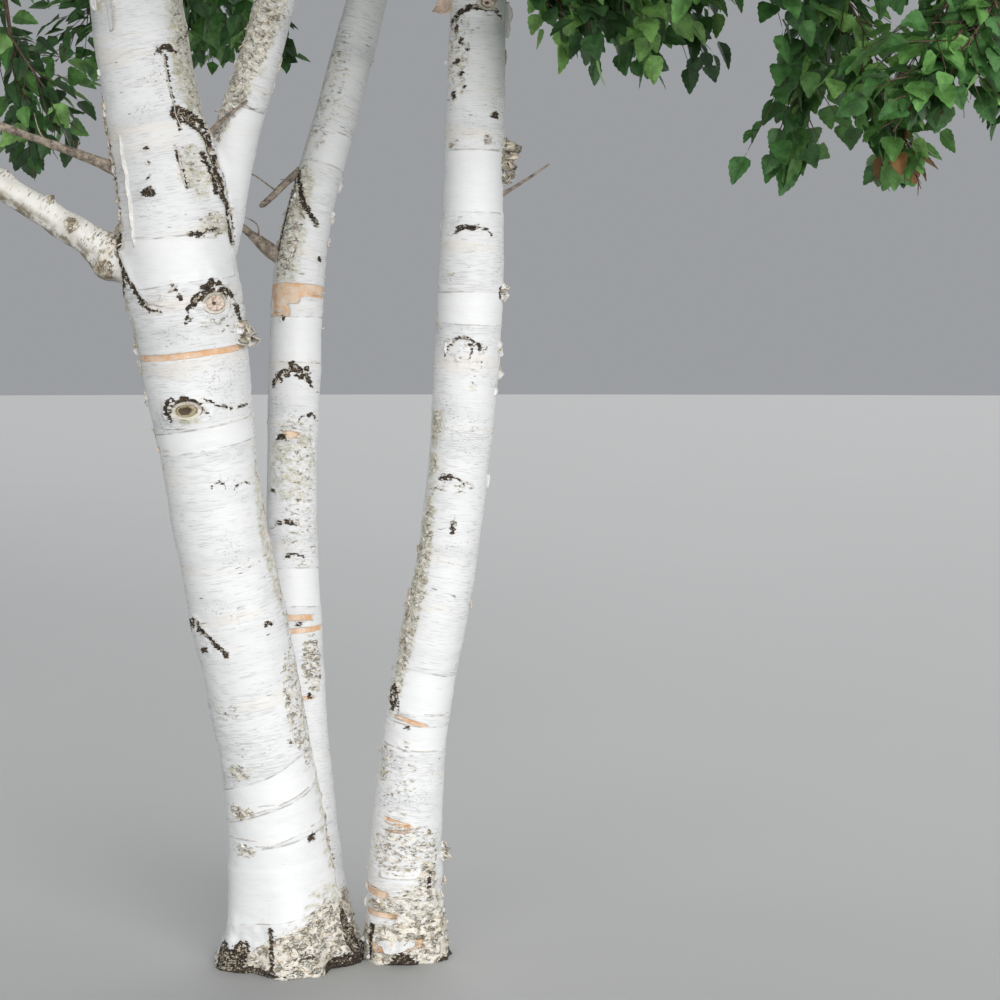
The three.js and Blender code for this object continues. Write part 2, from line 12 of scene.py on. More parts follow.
import bpy
import numpy as np
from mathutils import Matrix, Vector


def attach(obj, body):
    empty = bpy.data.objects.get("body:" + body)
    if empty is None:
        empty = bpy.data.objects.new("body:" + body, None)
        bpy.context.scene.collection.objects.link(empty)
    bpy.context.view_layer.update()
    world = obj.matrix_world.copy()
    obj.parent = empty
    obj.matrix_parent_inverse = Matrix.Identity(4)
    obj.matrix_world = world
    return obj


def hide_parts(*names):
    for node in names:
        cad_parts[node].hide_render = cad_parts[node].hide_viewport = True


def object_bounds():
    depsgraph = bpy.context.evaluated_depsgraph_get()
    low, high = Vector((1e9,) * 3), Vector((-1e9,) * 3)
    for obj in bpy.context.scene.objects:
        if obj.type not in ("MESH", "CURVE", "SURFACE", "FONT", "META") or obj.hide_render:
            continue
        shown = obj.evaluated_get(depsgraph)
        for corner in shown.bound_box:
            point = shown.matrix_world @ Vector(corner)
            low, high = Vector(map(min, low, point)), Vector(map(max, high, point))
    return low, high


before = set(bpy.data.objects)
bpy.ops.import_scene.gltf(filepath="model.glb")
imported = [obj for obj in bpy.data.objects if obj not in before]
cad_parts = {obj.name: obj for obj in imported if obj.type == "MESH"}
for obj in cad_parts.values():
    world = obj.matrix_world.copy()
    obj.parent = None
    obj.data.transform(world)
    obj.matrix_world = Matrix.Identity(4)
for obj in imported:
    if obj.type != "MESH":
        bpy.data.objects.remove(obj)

MILLIMETRE = 0.001
cad_box = [list(corner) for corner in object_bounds()]
BOX_LOW, BOX_HIGH = np.array(cad_box)
print("measured box", [round(high - low, 2) for low, high in zip(*cad_box)])

# %% [markdown]
# ## The plan of the tree
# The stems are smooth curves through a few waypoints, as they were measured: x, y, height and radius.
# The same plan drives the plain solids, so what is built here lies where they lie.

# %% Name the stems' driving sizes, in millimetres
STEMS = {
    "trunk_left": {
        "path": [
            (0, 0, 0, 126), (-33, -42, 420, 124), (-161, -117, 1170, 121), (-240, -180, 1800, 136),
            (-268, -202, 2030, 128), (-306, -222, 2230, 116), (-348, -252, 2550, 113),
            (-600, -340, 4300, 84), (-900, -400, 8250, 17),
        ],
        "flare": (64, 120, 5, 0.4),
        "sides": 128,
    },
    "trunk_left_fork": {
        "path": [
            (-160, -128, 1780, 38), (-140, -134, 1913, 51), (-101, -153, 2133, 58), (-33, -174, 2340, 52),
            (16, -186, 2520, 52), (240, -120, 4300, 40), (330, 60, 8000, 15),
        ],
        "flare": (0, 1, 1, 0),
        "sides": 64,
    },
    "trunk_back": {
        "path": [
            (66, 165, 0, 76), (20, 214, 540, 71), (-12, 258, 1150, 68), (-6, 290, 1500, 70),
            (20, 322, 1900, 67), (104, 348, 2220, 60), (190, 378, 2550, 59), (560, 680, 4300, 46),
            (860, 1120, 7350, 15),
        ],
        "flare": (26, 100, 4, 1.1),
        "sides": 80,
    },
    "trunk_right": {
        "path": [
            (302, 30, 0, 95), (315, 18, 404, 89), (352, 8, 724, 84), (415, -1, 1048, 79),
            (472, -17, 1600, 83), (486, -29, 1930, 79), (499, -43, 2450, 70), (660, -200, 4300, 54),
            (980, -500, 7700, 16),
        ],
        "flare": (20, 100, 4, 2.3),
        "sides": 96,
    },
}
FLARE_LOBE = 0.22
print(len(STEMS), "stems")

# %% Follow a stem's smooth curve
EAST = np.array([1.0, 0.0, 0.0])
UP = np.array([0.0, 0.0, 1.0])
LEVEL = (1, 1, 0)  # a direction times this loses its rise


def compass(angle):
    """The level direction at each angle."""
    return np.stack([np.cos(angle), np.sin(angle), np.zeros_like(angle)], -1)


def unit(vectors):
    """Vectors with length 1."""
    return vectors / np.maximum(np.linalg.norm(vectors, axis=-1, keepdims=True), 1e-12)


def stem_path(name):
    return np.array(STEMS[name]["path"], float) * MILLIMETRE


def stem_at(name, z):
    """The middle and the radius of a stem at heights z."""
    path = stem_path(name)
    z = np.asarray(z, float)
    step = np.diff(path, axis=0)
    rise = step[:, 2:3]
    slope = step / rise
    inner = (slope[:-1] * rise[1:] + slope[1:] * rise[:-1]) / (rise[:-1] + rise[1:])
    slopes = np.vstack([slope[:1], inner, slope[-1:]])
    i = np.clip(np.searchsorted(path[:, 2], z) - 1, 0, len(path) - 2)
    span = step[i, 2][..., None]
    t = (z[..., None] - path[i, 2][..., None]) / span
    start, end = path[i], path[i + 1]
    leave, arrive = slopes[i] * span, slopes[i + 1] * span
    across = end - start
    smooth = start + t * (leave + t * (3 * across - 2 * leave - arrive + t * (leave + arrive - 2 * across)))
    smooth[..., 2] = z
    return smooth[..., :3], smooth[..., 3]


def flared_radius(name, z, angle):
    """Radius of a stem round its foot's lobes of root."""
    out, height, lobes, turn = STEMS[name]["flare"]
    lobe = 1 + FLARE_LOBE * np.cos(lobes * angle + turn)
    return stem_at(name, z)[1] + out * MILLIMETRE * lobe * np.exp(-z / (height * MILLIMETRE))


for stem in STEMS:
    print(stem, "is", round(float(2 * stem_at(stem, 1.8)[1]), 3), "m across at 1.8 m")

# %% [markdown]
# ## The plan of the crown
# The crown is rings of leafy masses round the stems, each carried by one bough, and a mass at the tip
# of each stem. A bough is one tapering limb on a smooth curve that leaves its stem steeply.

# %% Name the crown's driving sizes
RINGS = [
    # name, height, distance out, radius, flatness, rise of the boughs, (stem, bearing) of each mass
    ("lower", 3.38, 1.48, 0.98, 0.72, 0.64,
     [("trunk_right", 2), ("trunk_back", 46), ("trunk_back", 130), ("trunk_left", 238),
      ("trunk_right", 284)]),
    ("middle", 4.76, 1.56, 1.1, 0.76, 0.98,
     [("trunk_right", 40), ("trunk_back", 96), ("trunk_left", 128), ("trunk_left", 200),
      ("trunk_left_fork", 266), ("trunk_right", 324)]),
    ("upper", 6.25, 1.22, 1.02, 0.82, 1.000,
     [("trunk_right", 12), ("trunk_back", 84), ("trunk_left", 112), ("trunk_left", 212),
      ("trunk_right", 272)]),
    ("high", 7.52, 0.86, 0.86, 0.9, 0.8,
     [("trunk_left", 196), ("trunk_left_fork", 100), ("trunk_right", 318)]),
]
SINGLES = [
    dict(name="left", centre=(-2.25, -0.2, 2.69), radius=0.8, flat=0.74, stem="trunk_left",
         height=1.725, foot_radius=0.04, lift=0.58),
    dict(name="low_left", centre=(-1.02, 0.34, 2.53), radius=0.6, flat=0.8, stem="trunk_left",
         height=2.62, foot_radius=0.024, inlet=0.35),
    dict(name="low_right", centre=(1.29, -0.33, 2.56), radius=0.69, flat=0.8, stem="trunk_right",
         height=2.585, foot_radius=0.026, inlet=0.3),
]
DEAD_BRANCHES = [
    # name, stem, height, end, radius at the foot and at the tip, lift
    ("dead_branch_left", "trunk_left", 1.985, (-0.905, -0.29, 2.225), 0.012, 0.007, 0.45),
    ("dead_branch_low", "trunk_back", 1.8, (-0.15, 0.296, 1.935), 0.014, 0.009, 0.9),
    ("dead_branch_high", "trunk_back", 2.09, (-0.096, 0.29, 1.985), 0.009, 0.008, 0.4),
]
RING_SWAY = 0.13
RING_SWAY_TURN = 2.3
BOUGH_STAGGER = 0.17
BOUGH_SHARE = 0.52
BOUGH_LEAST_RADIUS = 0.024
BOUGH_TIP_SHARE = 0.5
BOUGH_LEAST_TIP = 0.017
BOUGH_START_PULL = 0.34  # how far a bough keeps its first and last direction, as shares of its reach
BOUGH_END_PULL = 0.3
COLLAR_OUT = 0.7
COLLAR_LENGTH = 0.11
COLLAR_START = 0.8
INLET = -0.3
INLET_OUT = 0.84
TOP_RADIUS = 0.96
TOP_FLAT = 0.95
TOP_RISE = 0.7
STEM_REACH = 1.86
TOP_STEM_REACH = 1.786
STEM_DROOP = 0.16
STEM_AIM = 0.9
SEED_STEP = 977
print("crown of", len(RINGS), "rings,", len(SINGLES), "single boughs and", len(DEAD_BRANCHES), "dead ones")


# %% Work out the boughs and the masses
def bough_of(stem, height, end, end_direction, foot_radius=None, lift=None):
    """A bough's curve and radii, from its stem at a height to the point where its foliage begins."""
    foot, stem_radius = stem_at(stem, height)
    reach = np.linalg.norm(end - foot)
    outward = unit((end - foot) * LEVEL)
    steepness = lift if lift is not None else np.clip((end[2] - height) / reach + 0.35, 0.25, 0.9)
    leave = unit(outward + UP * steepness)
    handles = np.array([foot, foot + leave * reach * BOUGH_START_PULL,
                        end - end_direction * reach * BOUGH_END_PULL, end])
    radius = foot_radius or max(BOUGH_LEAST_RADIUS, stem_radius * BOUGH_SHARE)
    tip = min(radius, max(BOUGH_LEAST_TIP, radius * BOUGH_TIP_SHARE))
    return dict(handles=handles, reach=reach, radius=radius, tip=tip, stem_radius=stem_radius, stem=stem,
                height=height)


def bough_at(bough, t):
    """Points on a bough's curve at shares t of its length."""
    t = np.asarray(t, float)[..., None]
    a, b, c, d = bough["handles"]
    return a * (1 - t) ** 3 + 3 * b * t * (1 - t) ** 2 + 3 * c * t * t * (1 - t) + d * t ** 3


def bough_radius(bough, t):
    past = np.maximum(0, t * bough["reach"] - bough["stem_radius"] * COLLAR_START)
    taper = bough["radius"] + (bough["tip"] - bough["radius"]) * t
    return taper + bough["radius"] * COLLAR_OUT * (1 - t) * np.exp(-past / COLLAR_LENGTH)


masses = []
for name, z, out, radius, flat, rise, places in RINGS:
    for i, (stem, bearing) in enumerate(places):
        height = z + RING_SWAY * math.sin(RING_SWAY_TURN * i)
        centre = stem_at(stem, height)[0] + out * compass(math.radians(bearing))
        masses.append(dict(name=f"{name}_{i + 1}", ring=name, centre=centre, radius=radius, flat=flat,
                           stem=stem, height=z - rise + BOUGH_STAGGER * (i % 3)))
masses += [dict(ring="low", **single) for single in SINGLES]
for mass in masses:
    mass["centre"] = np.array(mass["centre"], float)
    inward = unit((stem_at(mass["stem"], mass["height"])[0] - mass["centre"]) * LEVEL)
    foot = mass["centre"] + inward * mass["radius"] * INLET_OUT
    foot = foot + UP * mass["radius"] * mass["flat"] * mass.get("inlet", INLET)
    aim = mass["centre"] - foot + UP * mass["radius"] * STEM_DROOP * STEM_AIM
    mass["direction"] = unit(aim)
    mass["bough"] = bough_of(mass["stem"], mass["height"], foot, mass["direction"],
                             mass.get("foot_radius"), mass.get("lift"))
    mass["foot"] = foot
    mass["stem_radius"] = mass["bough"]["tip"]
for stem in STEMS:
    *foot, radius = stem_path(stem)[-1]
    masses.append(dict(name=stem.replace("trunk", "top"), ring="top", radius=TOP_RADIUS, flat=TOP_FLAT,
                       foot=np.array(foot), stem_radius=radius, centre=foot + UP * TOP_RADIUS * TOP_RISE,
                       direction=UP))
for i, mass in enumerate(masses):
    mass["seed"] = SEED_STEP * (i + 1)
    mass["length"] = mass["radius"] * (STEM_REACH if "bough" in mass else TOP_STEM_REACH)
    mass["droop"] = STEM_DROOP if "bough" in mass else 0
boughs = [mass["bough"] for mass in masses if "bough" in mass]


def ring_nodes(ring, prefix):
    """The measured model's nodes for one ring of masses."""
    return [prefix + mass["name"] for mass in masses if mass["ring"] == ring]


print(len(masses), "masses on", len(boughs), "boughs")

# %% [markdown]
# ## Mesh shorthand
# Bark relief and a hundred thousand leaves are too many to add one by one, so every mesh here is
# worked out as arrays of corners and faces and handed over in one go.

# %% Helpers that make meshes
def make_piece(name, corners, faces, materials, slots=None, smooth=True, fields=None):
    """A mesh object from arrays. faces is a list of arrays, each with faces of one number of sides."""
    mesh = bpy.data.meshes.new(name)
    sizes = np.concatenate([np.full(len(rows), rows.shape[1]) for rows in faces])
    order = np.concatenate([rows.ravel() for rows in faces])
    mesh.vertices.add(len(corners))
    mesh.vertices.foreach_set("co", np.asarray(corners, np.float32).ravel())
    mesh.loops.add(len(order))
    mesh.loops.foreach_set("vertex_index", order.astype(np.int32))
    mesh.polygons.add(len(sizes))
    starts = np.concatenate([[0], np.cumsum(sizes)[:-1]])
    mesh.polygons.foreach_set("loop_start", starts.astype(np.int32))
    for material in materials:
        mesh.materials.append(material)
    if slots is not None:
        mesh.polygons.foreach_set("material_index", slots.astype(np.int32))
    mesh.update(calc_edges=True)
    mesh.polygons.foreach_set("use_smooth", np.full(len(sizes), smooth))
    for title, values in (fields or {}).items():
        kind, key = ("FLOAT_VECTOR", "vector") if np.ndim(values) == 2 else ("FLOAT", "value")
        attribute = mesh.attributes.new(title, kind, "POINT")
        attribute.data.foreach_set(key, np.asarray(values, np.float32).ravel())
    piece = bpy.data.objects.new(name, mesh)
    bpy.context.scene.collection.objects.link(piece)
    triangles = int((sizes - 2).sum())
    print(f"{name}: {triangles} triangles")
    return piece


def dress(replaced, slot, *shape, **more):
    """A piece that takes the place of nodes of the measured model."""
    piece = make_piece(*shape, **more)
    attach(piece, "root")
    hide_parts(*replaced)


def joined(parts):
    """Many parts' corners and faces as one set, with the faces sorted by their number of sides."""
    start, by_sides = 0, {}
    for corners, faces, *_ in parts:
        for rows in faces:
            by_sides.setdefault(rows.shape[1], []).append(rows + start)
        start += len(corners)
    return np.vstack([part[0] for part in parts]), [np.vstack(rows) for rows in by_sides.values()]


def ring_faces(rings, sides):
    """Quads between rings of corners, closed all round."""
    low = np.arange(rings - 1)[:, None] * sides
    side = np.arange(sides)
    after = (side + 1) % sides
    return np.stack([low + side, low + after, low + sides + after, low + sides + side], -1).reshape(-1, 4)


def tube_faces(rings, sides):
    """The walls of a tube and the two faces that close its ends."""
    side = np.arange(sides)
    return [ring_faces(rings, sides), np.stack([side[::-1], side + (rings - 1) * sides])]


def even_turns(count):
    """Angles spread evenly over a full turn."""
    return np.arange(count) * 2 * math.pi / count


def spokes_along(along, sides):
    """Directions spread evenly round a path and square to it, with no sudden turn on the way."""
    steep = np.abs(along.mean(-2, keepdims=True)[..., 2:]) > 0.8
    side = unit(np.cross(along, np.where(steep, EAST, UP)))
    up = np.cross(along, side)
    angle = even_turns(sides)[:, None]
    return side[..., None, :] * np.cos(angle) + up[..., None, :] * np.sin(angle)


def tubes(paths, radii, sides):
    """Closed tubes along many paths at once: corners, and the faces of walls and ends."""
    count, rings = paths.shape[:2]
    spokes = spokes_along(unit(np.gradient(paths, axis=1)), sides)
    corners = paths[:, :, None] + spokes * radii[:, :, None, None]
    start = (np.arange(count) * rings * sides)[:, None, None]
    faces = [(rows + start).reshape(-1, rows.shape[1]) for rows in tube_faces(rings, sides)]
    return corners.reshape(-1, 3), faces


def smooth_noise(points, cells, seed):
    """Seeded values from -1 to 1 that change smoothly, with so many cells a metre."""
    lattice = np.random.default_rng(seed).uniform(-1, 1, (32, 32, 32))
    scaled = points * np.asarray(cells, float)
    cell = np.floor(scaled).astype(int)
    t = scaled - cell
    t = t * t * (3 - 2 * t)
    total = np.zeros(len(points))
    for corner in itertools.product((0, 1), repeat=3):
        weight = np.prod(np.where(corner, t, 1 - t), axis=1)
        i, j, k = ((cell + corner) % 32).T
        total += weight * lattice[i, j, k]
    return total


print("mesh helpers ready")

# %% [markdown]
# ## Shader shorthand
# Each finish is a web of small nodes. These helpers add one node at a time, and effects that several
# finishes share are node groups.

# %% Helpers that add shader nodes
web = None  # the node tree that the helpers add to: the group or the material begun last


def link(start, end):
    web.links.new(start, end)


def fill(socket, value):
    """Sets a socket's value; a colour is given without its alpha."""
    is_colour = np.size(socket.default_value) == 4
    socket.default_value = (*value, 1) if is_colour else value


def add(kind, values=None, **settings):
    """A node with its settings, its input values and its links."""
    made = web.nodes.new("ShaderNode" + kind)
    for key, value in settings.items():
        setattr(made, key, value)
    for key, value in (values or {}).items():
        if isinstance(value, bpy.types.NodeSocket):
            link(value, made.inputs[key])
        else:
            fill(made.inputs[key], value)
    return made


def maths(operation, *values):
    return add("Math", dict(enumerate(values)), operation=operation).outputs[0]


def times(first, second):
    return maths("MULTIPLY", first, second)


def times_plus(first, second, third):
    """The first times the second, plus the third."""
    return maths("MULTIPLY_ADD", first, second, third)


def noise(vector, scale, detail=2, roughness=0.5):
    inputs = {"Vector": vector, "Scale": scale, "Detail": detail, "Roughness": roughness}
    return add("TexNoise", inputs).outputs[0]


def stretched(vector, across, along):
    """Bark coordinates scaled unevenly, so that a pattern runs round the stem."""
    return add("Mapping", {"Vector": vector, "Scale": (across, across, along)}).outputs[0]


def ease(value, low, high, first=0, last=1):
    inputs = {"Value": value, "From Min": low, "From Max": high, "To Min": first, "To Max": last}
    return add("MapRange", inputs, interpolation_type="SMOOTHSTEP").outputs[0]


def blend(share, first, second):
    return add("Mix", {0: share, 6: first, 7: second}, data_type="RGBA").outputs[2]


def new_socket(title, is_number, in_out):
    kind = "Vector" if title == "Vector" else "Float" if is_number else "Color"
    return web.interface.new_socket(title, in_out=in_out, socket_type="NodeSocket" + kind)


def new_group(name, outputs, **inputs):
    """Begins an empty node group with a vector and named inputs; the sockets at its two ends."""
    global web
    web = bpy.data.node_groups.new(name, "ShaderNodeTree")
    for title, value in {"Vector": (0, 0, 0), **inputs}.items():
        fill(new_socket(title, np.isscalar(value), "INPUT"), value)
    for title in outputs:
        new_socket(title, title != "Color", "OUTPUT")
    print("shared effect", name)
    return web.nodes.new("NodeGroupInput").outputs, web.nodes.new("NodeGroupOutput").inputs


def use_group(group, vector, **values):
    return add("Group", {"Vector": vector, **values}, node_tree=group).outputs


def new_material(name):
    """Begins a material; it and its surface node."""
    global web
    material = bpy.data.materials.new(name)
    material.use_nodes = True
    web = material.node_tree
    web.nodes.clear()
    surface = add("BsdfPrincipled")
    print("finish", name)
    link(surface.outputs[0], add("OutputMaterial").inputs[0])
    return material, surface


def finish_material(surface, colour, roughness, height):
    """Feeds colour, roughness and a bump from heights in metres."""
    link(colour, surface.inputs["Base Color"])
    link(roughness, surface.inputs["Roughness"])
    bump = add("Bump", {"Height": height, "Distance": 1, "Strength": 1})
    link(bump.outputs[0], surface.inputs["Normal"])


def field(name, output="Fac"):
    """A value that the mesh carries at its corners."""
    return add("Attribute", attribute_name=name).outputs[output]


print("shader helpers ready")

# %% [markdown]
# ## Effects that several barks share
# A birch's bark is made of a few things at different scales: thin cross marks through which it
# breathes, a paper tone that changes from band to band, and marks with torn edges. A mark's edge could
# be painted as an image, but a field of distances with some noise stays crisp however close one looks.

# %% Group: torn edge
# A crisp mask with ragged edges from a field of distances in metres, positive inside.
given, result = new_group("torn_edge", ["Mask"], Field=0, Raggedness=0.006, Cells=90,
                          Softness=0.0015)
torn = noise(stretched(given["Vector"], 1, 2.2), given["Cells"], 3, 0.6)
shift = times(maths("SUBTRACT", torn, 0.5), given["Raggedness"])
moved = times_plus(shift, 2, given["Field"])
low = times(given["Softness"], -1)
link(ease(moved, low, given["Softness"]), result["Mask"])
torn_edge = web

# %% Group: cross marks
# Thin breathing marks that run round the limb, as a mask.
given, result = new_group("cross_marks", ["Mask"], Across=40, Along=700, Threshold=0.6,
                          Patchiness=5)
across = given["Across"]
scale = add("CombineXYZ", {0: across, 1: across, 2: given["Along"]}).outputs[0]
place = add("VectorMath", {0: given["Vector"], 1: scale}, operation="MULTIPLY").outputs[0]
marks = noise(place, 1, 1, 0.4)
patches = noise(stretched(given["Vector"], 1, 1.8), given["Patchiness"], 2)
eased = times_plus(patches, -0.4, maths("ADD", given["Threshold"], 0.2))
high = maths("ADD", eased, 0.08)
link(ease(marks, eased, high), result["Mask"])
cross_marks = web

# %% Group: paper tone
# The white of the bark, warmer, greyer and pinker from band to band, and its faint wrinkles.
given, result = new_group("paper_tone", ["Color", "Height"], White=(0.87, 0.87, 0.865),
                          Grey=(0.66, 0.665, 0.67), Blush=(0.86, 0.8, 0.73))
vector = given["Vector"]
bands = noise(stretched(vector, 1.2, 11), 1, 3, 0.6)
clouds = noise(stretched(vector, 1, 1.6), 7, 3, 0.6)
greyness = times(ease(bands, 0.46, 0.7), ease(clouds, 0.35, 0.75, 0.2, 0.9))
tone = blend(greyness, given["White"], given["Grey"])
blush = noise(stretched(vector, 2.5, 17), 1, 2)
tone = blend(ease(blush, 0.56, 0.72, 0, 0.7), tone, given["Blush"])
wrinkles = noise(stretched(vector, 14, 330), 1, 3, 0.65)
fine = ease(wrinkles, 0.4, 0.65, 0, 0.22)
tone = blend(fine, tone, given["Grey"])
link(tone, result["Color"])
swell = times(wrinkles, 0.0006)
link(times_plus(clouds, 0.002, swell), result["Height"])
paper_tone = web

# %% Group: cork
# Black and brown corky bark, broken up by pale flecks.
given, result = new_group("cork", ["Color", "Height"], Dark=(0.022, 0.018, 0.014),
                          Brown=(0.11, 0.075, 0.05), Fleck=(0.6, 0.53, 0.4), Flecks=0.5, Cells=160)
vector = stretched(given["Vector"], 1, 1.5)
coarse = noise(vector, given["Cells"], 4, 0.7)
tone = blend(ease(coarse, 0.4, 0.65), given["Dark"], given["Brown"])
flecks = noise(vector, times(given["Cells"], 1.7), 2)
low = times_plus(given["Flecks"], -0.3, 0.78)
share = ease(flecks, low, maths("ADD", low, 0.05))
link(blend(share, tone, given["Fleck"]), result["Color"])
link(times_plus(coarse, 0.004, times(share, 0.001)), result["Height"])
cork = web

# %% Group: flakes
# Old bark broken into small plates, pale ones and drab ones, with dark gaps between some.
given, result = new_group("flakes", ["Color", "Height"], Pale=(0.93, 0.89, 0.8),
                          Drab=(0.7, 0.63, 0.5), Tan=(0.58, 0.47, 0.34), Gap=(0.1, 0.075, 0.05),
                          Paleness=0.7, Cells=78)
place = stretched(given["Vector"], 1, 1.7)
swirl = add("TexNoise", {"Vector": place, "Scale": 38, "Detail": 4}).outputs["Color"]
swirl = add("VectorMath", {0: swirl, 1: (0.5, 0.5, 0.5)}, operation="SUBTRACT").outputs[0]
moved = {0: swirl, 1: (0.03, 0.03, 0.03), 2: place}
place = add("VectorMath", moved, operation="MULTIPLY_ADD").outputs[0]
fine_cells = times(given["Cells"], 2.3)
picks, gaps = [], []
for cells in (given["Cells"], fine_cells):
    plates = add("TexVoronoi", {"Vector": place, "Scale": cells}).outputs["Color"]
    edges = add("TexVoronoi", {"Vector": place, "Scale": cells}, feature="DISTANCE_TO_EDGE")
    picks.append(add("SeparateColor", {0: plates}).outputs)
    gaps.append(ease(edges.outputs[0], 0.015, 0.1, 1, 0))
(coarse, tan_chance, rise), (fine, darker, _) = picks
patches = noise(place, 17, 3, 0.6)
chance = times_plus(patches, 1.5, maths("SUBTRACT", given["Paleness"], 1.45))
chance = maths("ADD", chance, times_plus(fine, 0.6, times(coarse, 0.8)))
drab = blend(ease(tan_chance, 0.6, 0.7), given["Drab"], given["Tan"])
tone = blend(ease(chance, 0.4, 0.62), drab, given["Pale"])
tone = blend(times(darker, 0.3), tone, given["Drab"])
places = ease(noise(place, 45, 2), 0.42, 0.58)
open_gap = maths("MAXIMUM", times(gaps[0], 0.9), times(gaps[1], 0.5))
open_gap = times(open_gap, places)
link(blend(open_gap, tone, given["Gap"]), result["Color"])
lift = times_plus(rise, 0.0016, times(open_gap, -0.0022))
link(lift, result["Height"])
flakes = web

# %% [markdown]
# ## White bark of the stems
# The outer bark is paper in many layers. Where a layer has come away lately the next one is smooth and
# very white, where more have gone the orange inner bark shows, and old torn places weather to a rough
# grey. Scars of lost branches are black, with a brow over them and bare wood inside. The mesh carries
# one field of distances for each kind of place, and the finish turns them into crisp marks.

# %% Finish: white bark
def lined(field_value, width, strength):
    """A thin line along the edge of a field."""
    return ease(maths("ABSOLUTE", field_value), 0, width, strength, 0)


def mask_of(vector, name, raggedness, cells, softness=0.0012):
    return use_group(torn_edge, vector, Field=field(name), Raggedness=raggedness, Cells=cells,
                     Softness=softness)["Mask"]


white_bark, surface = new_material("white_bark")
vector = field("bark", "Vector")
paper = use_group(paper_tone, vector)
colour, height = paper["Color"], paper["Height"]
broken = ease(noise(stretched(vector, 1, 2), 22, 3), 0.44, 0.6)

fresh = mask_of(vector, "fresh", 0.005, 45, 0.003)
worn = maths("SUBTRACT", 1, times(fresh, 0.8))
hair = use_group(cross_marks, vector, Across=30, Along=560, Threshold=0.6)
hair = times(hair["Mask"], times(worn, 0.42))
colour = blend(times(fresh, 0.8), colour, (0.9, 0.9, 0.9))
colour = blend(hair, colour, (0.42, 0.42, 0.415))
dash = use_group(cross_marks, vector, Across=34, Along=210, Threshold=0.76, Patchiness=9)
dash = times(dash["Mask"], worn)
colour = blend(times(dash, 0.8), colour, (0.17, 0.14, 0.11))

speck_zone = ease(noise(stretched(vector, 1, 1.4), 8, 3), 0.48, 0.66)
specks = ease(noise(stretched(vector, 1, 1.8), 150, 3, 0.7), 0.59, 0.66)
specks = times(specks, times(speck_zone, worn))
colour = blend(times(specks, 0.65), colour, (0.26, 0.235, 0.195))
# Painted shadow: a dark line along the edges of the fresh bands, where the step down from the older layer
# lies in shade.
edge = times(lined(field("fresh"), 0.003, 0.75), broken)
colour = blend(edge, colour, (0.34, 0.31, 0.265))

moss = mask_of(vector, "moss", 0.03, 24, 0.008)
mottle = ease(noise(stretched(vector, 1, 1.5), 70, 4, 0.7), 0.36, 0.64, 0.12, 0.85)
olive = blend(ease(noise(vector, 30, 3), 0.4, 0.6), (0.6, 0.52, 0.34), (0.4, 0.385, 0.22))
colour = blend(times(moss, mottle), colour, olive)

rough = mask_of(vector, "rough", 0.02, 55, 0.0025)
old = use_group(flakes, vector)
colour = blend(rough, colour, old["Color"])

inner = mask_of(vector, "inner", 0.0025, 70)
streaks = noise(stretched(vector, 26, 16), 1, 5, 0.65)
orange = blend(ease(streaks, 0.35, 0.65), (0.76, 0.42, 0.2), (0.88, 0.66, 0.47))
colour = blend(times(inner, ease(broken, 0, 1, 1, 0.72)), colour, orange)
inner_edge = times(lined(field("inner"), 0.0016, 0.6), broken)
colour = blend(inner_edge, colour, (0.36, 0.22, 0.13))

fringe = mask_of(vector, "dark", 0.022, 60, 0.004)
near_dark = ease(field("dark"), -0.01, 0, 0, 0.55)
colour = blend(times(fringe, near_dark), colour, old["Color"])
dark = mask_of(vector, "dark", 0.013, 75, 0.0009)
flecks = ease(field("dark"), 0.003, 0.014, 0.45, 0.92)
black = use_group(cork, vector, Flecks=flecks, Cells=105)
colour = blend(dark, colour, black["Color"])

wood = mask_of(vector, "wood", 0.006, 70)
grain = ease(noise(vector, 150, 4, 0.65), 0.42, 0.66)
bare = blend(grain, (0.82, 0.7, 0.6), (0.46, 0.3, 0.21))
bare = blend(times(moss, 0.85), bare, (0.36, 0.31, 0.15))
core = mask_of(vector, "core", 0.006, 120)
bare = blend(core, bare, (0.08, 0.05, 0.03))
lip = ease(field("wood"), -0.0085, -0.006)
colour = blend(times(lip, 0.75), colour, (0.8, 0.74, 0.62))
rim = lined(maths("ADD", field("wood"), 0.0075), 0.002, 0.9)
colour = blend(times(rim, broken), colour, (0.1, 0.07, 0.045))
colour = blend(wood, colour, bare)
ring = times(lined(field("wood"), 0.0024, 0.9), ease(broken, 0, 1, 0.5, 1))
colour = blend(ring, colour, (0.09, 0.055, 0.04))

for share, lift in ((hair, 0.0006), (dash, 0.001), (specks, 0.0007), (fresh, -0.0009), (inner, -0.0012)):
    height = times_plus(share, lift, height)
for effect, share in ((old, rough), (black, dark)):
    height = maths("ADD", height, times(effect["Height"], share))
gloss = ease(fresh, 0, 1, 0.6, 0.5)
matt = maths("MAXIMUM", dark, times(rough, 0.8))
gloss = times_plus(matt, 0.35, gloss)
finish_material(surface, colour, gloss, height)
print("white bark uses", len(white_bark.node_tree.nodes), "nodes")

# %% [markdown]
# ## Bark of boughs, twigs and dead wood
# A birch's bark is brown while it is thin and turns white as the limb grows, so the boughs' finish
# follows how thick they are. Dead wood has lost its gloss and is grey-brown.

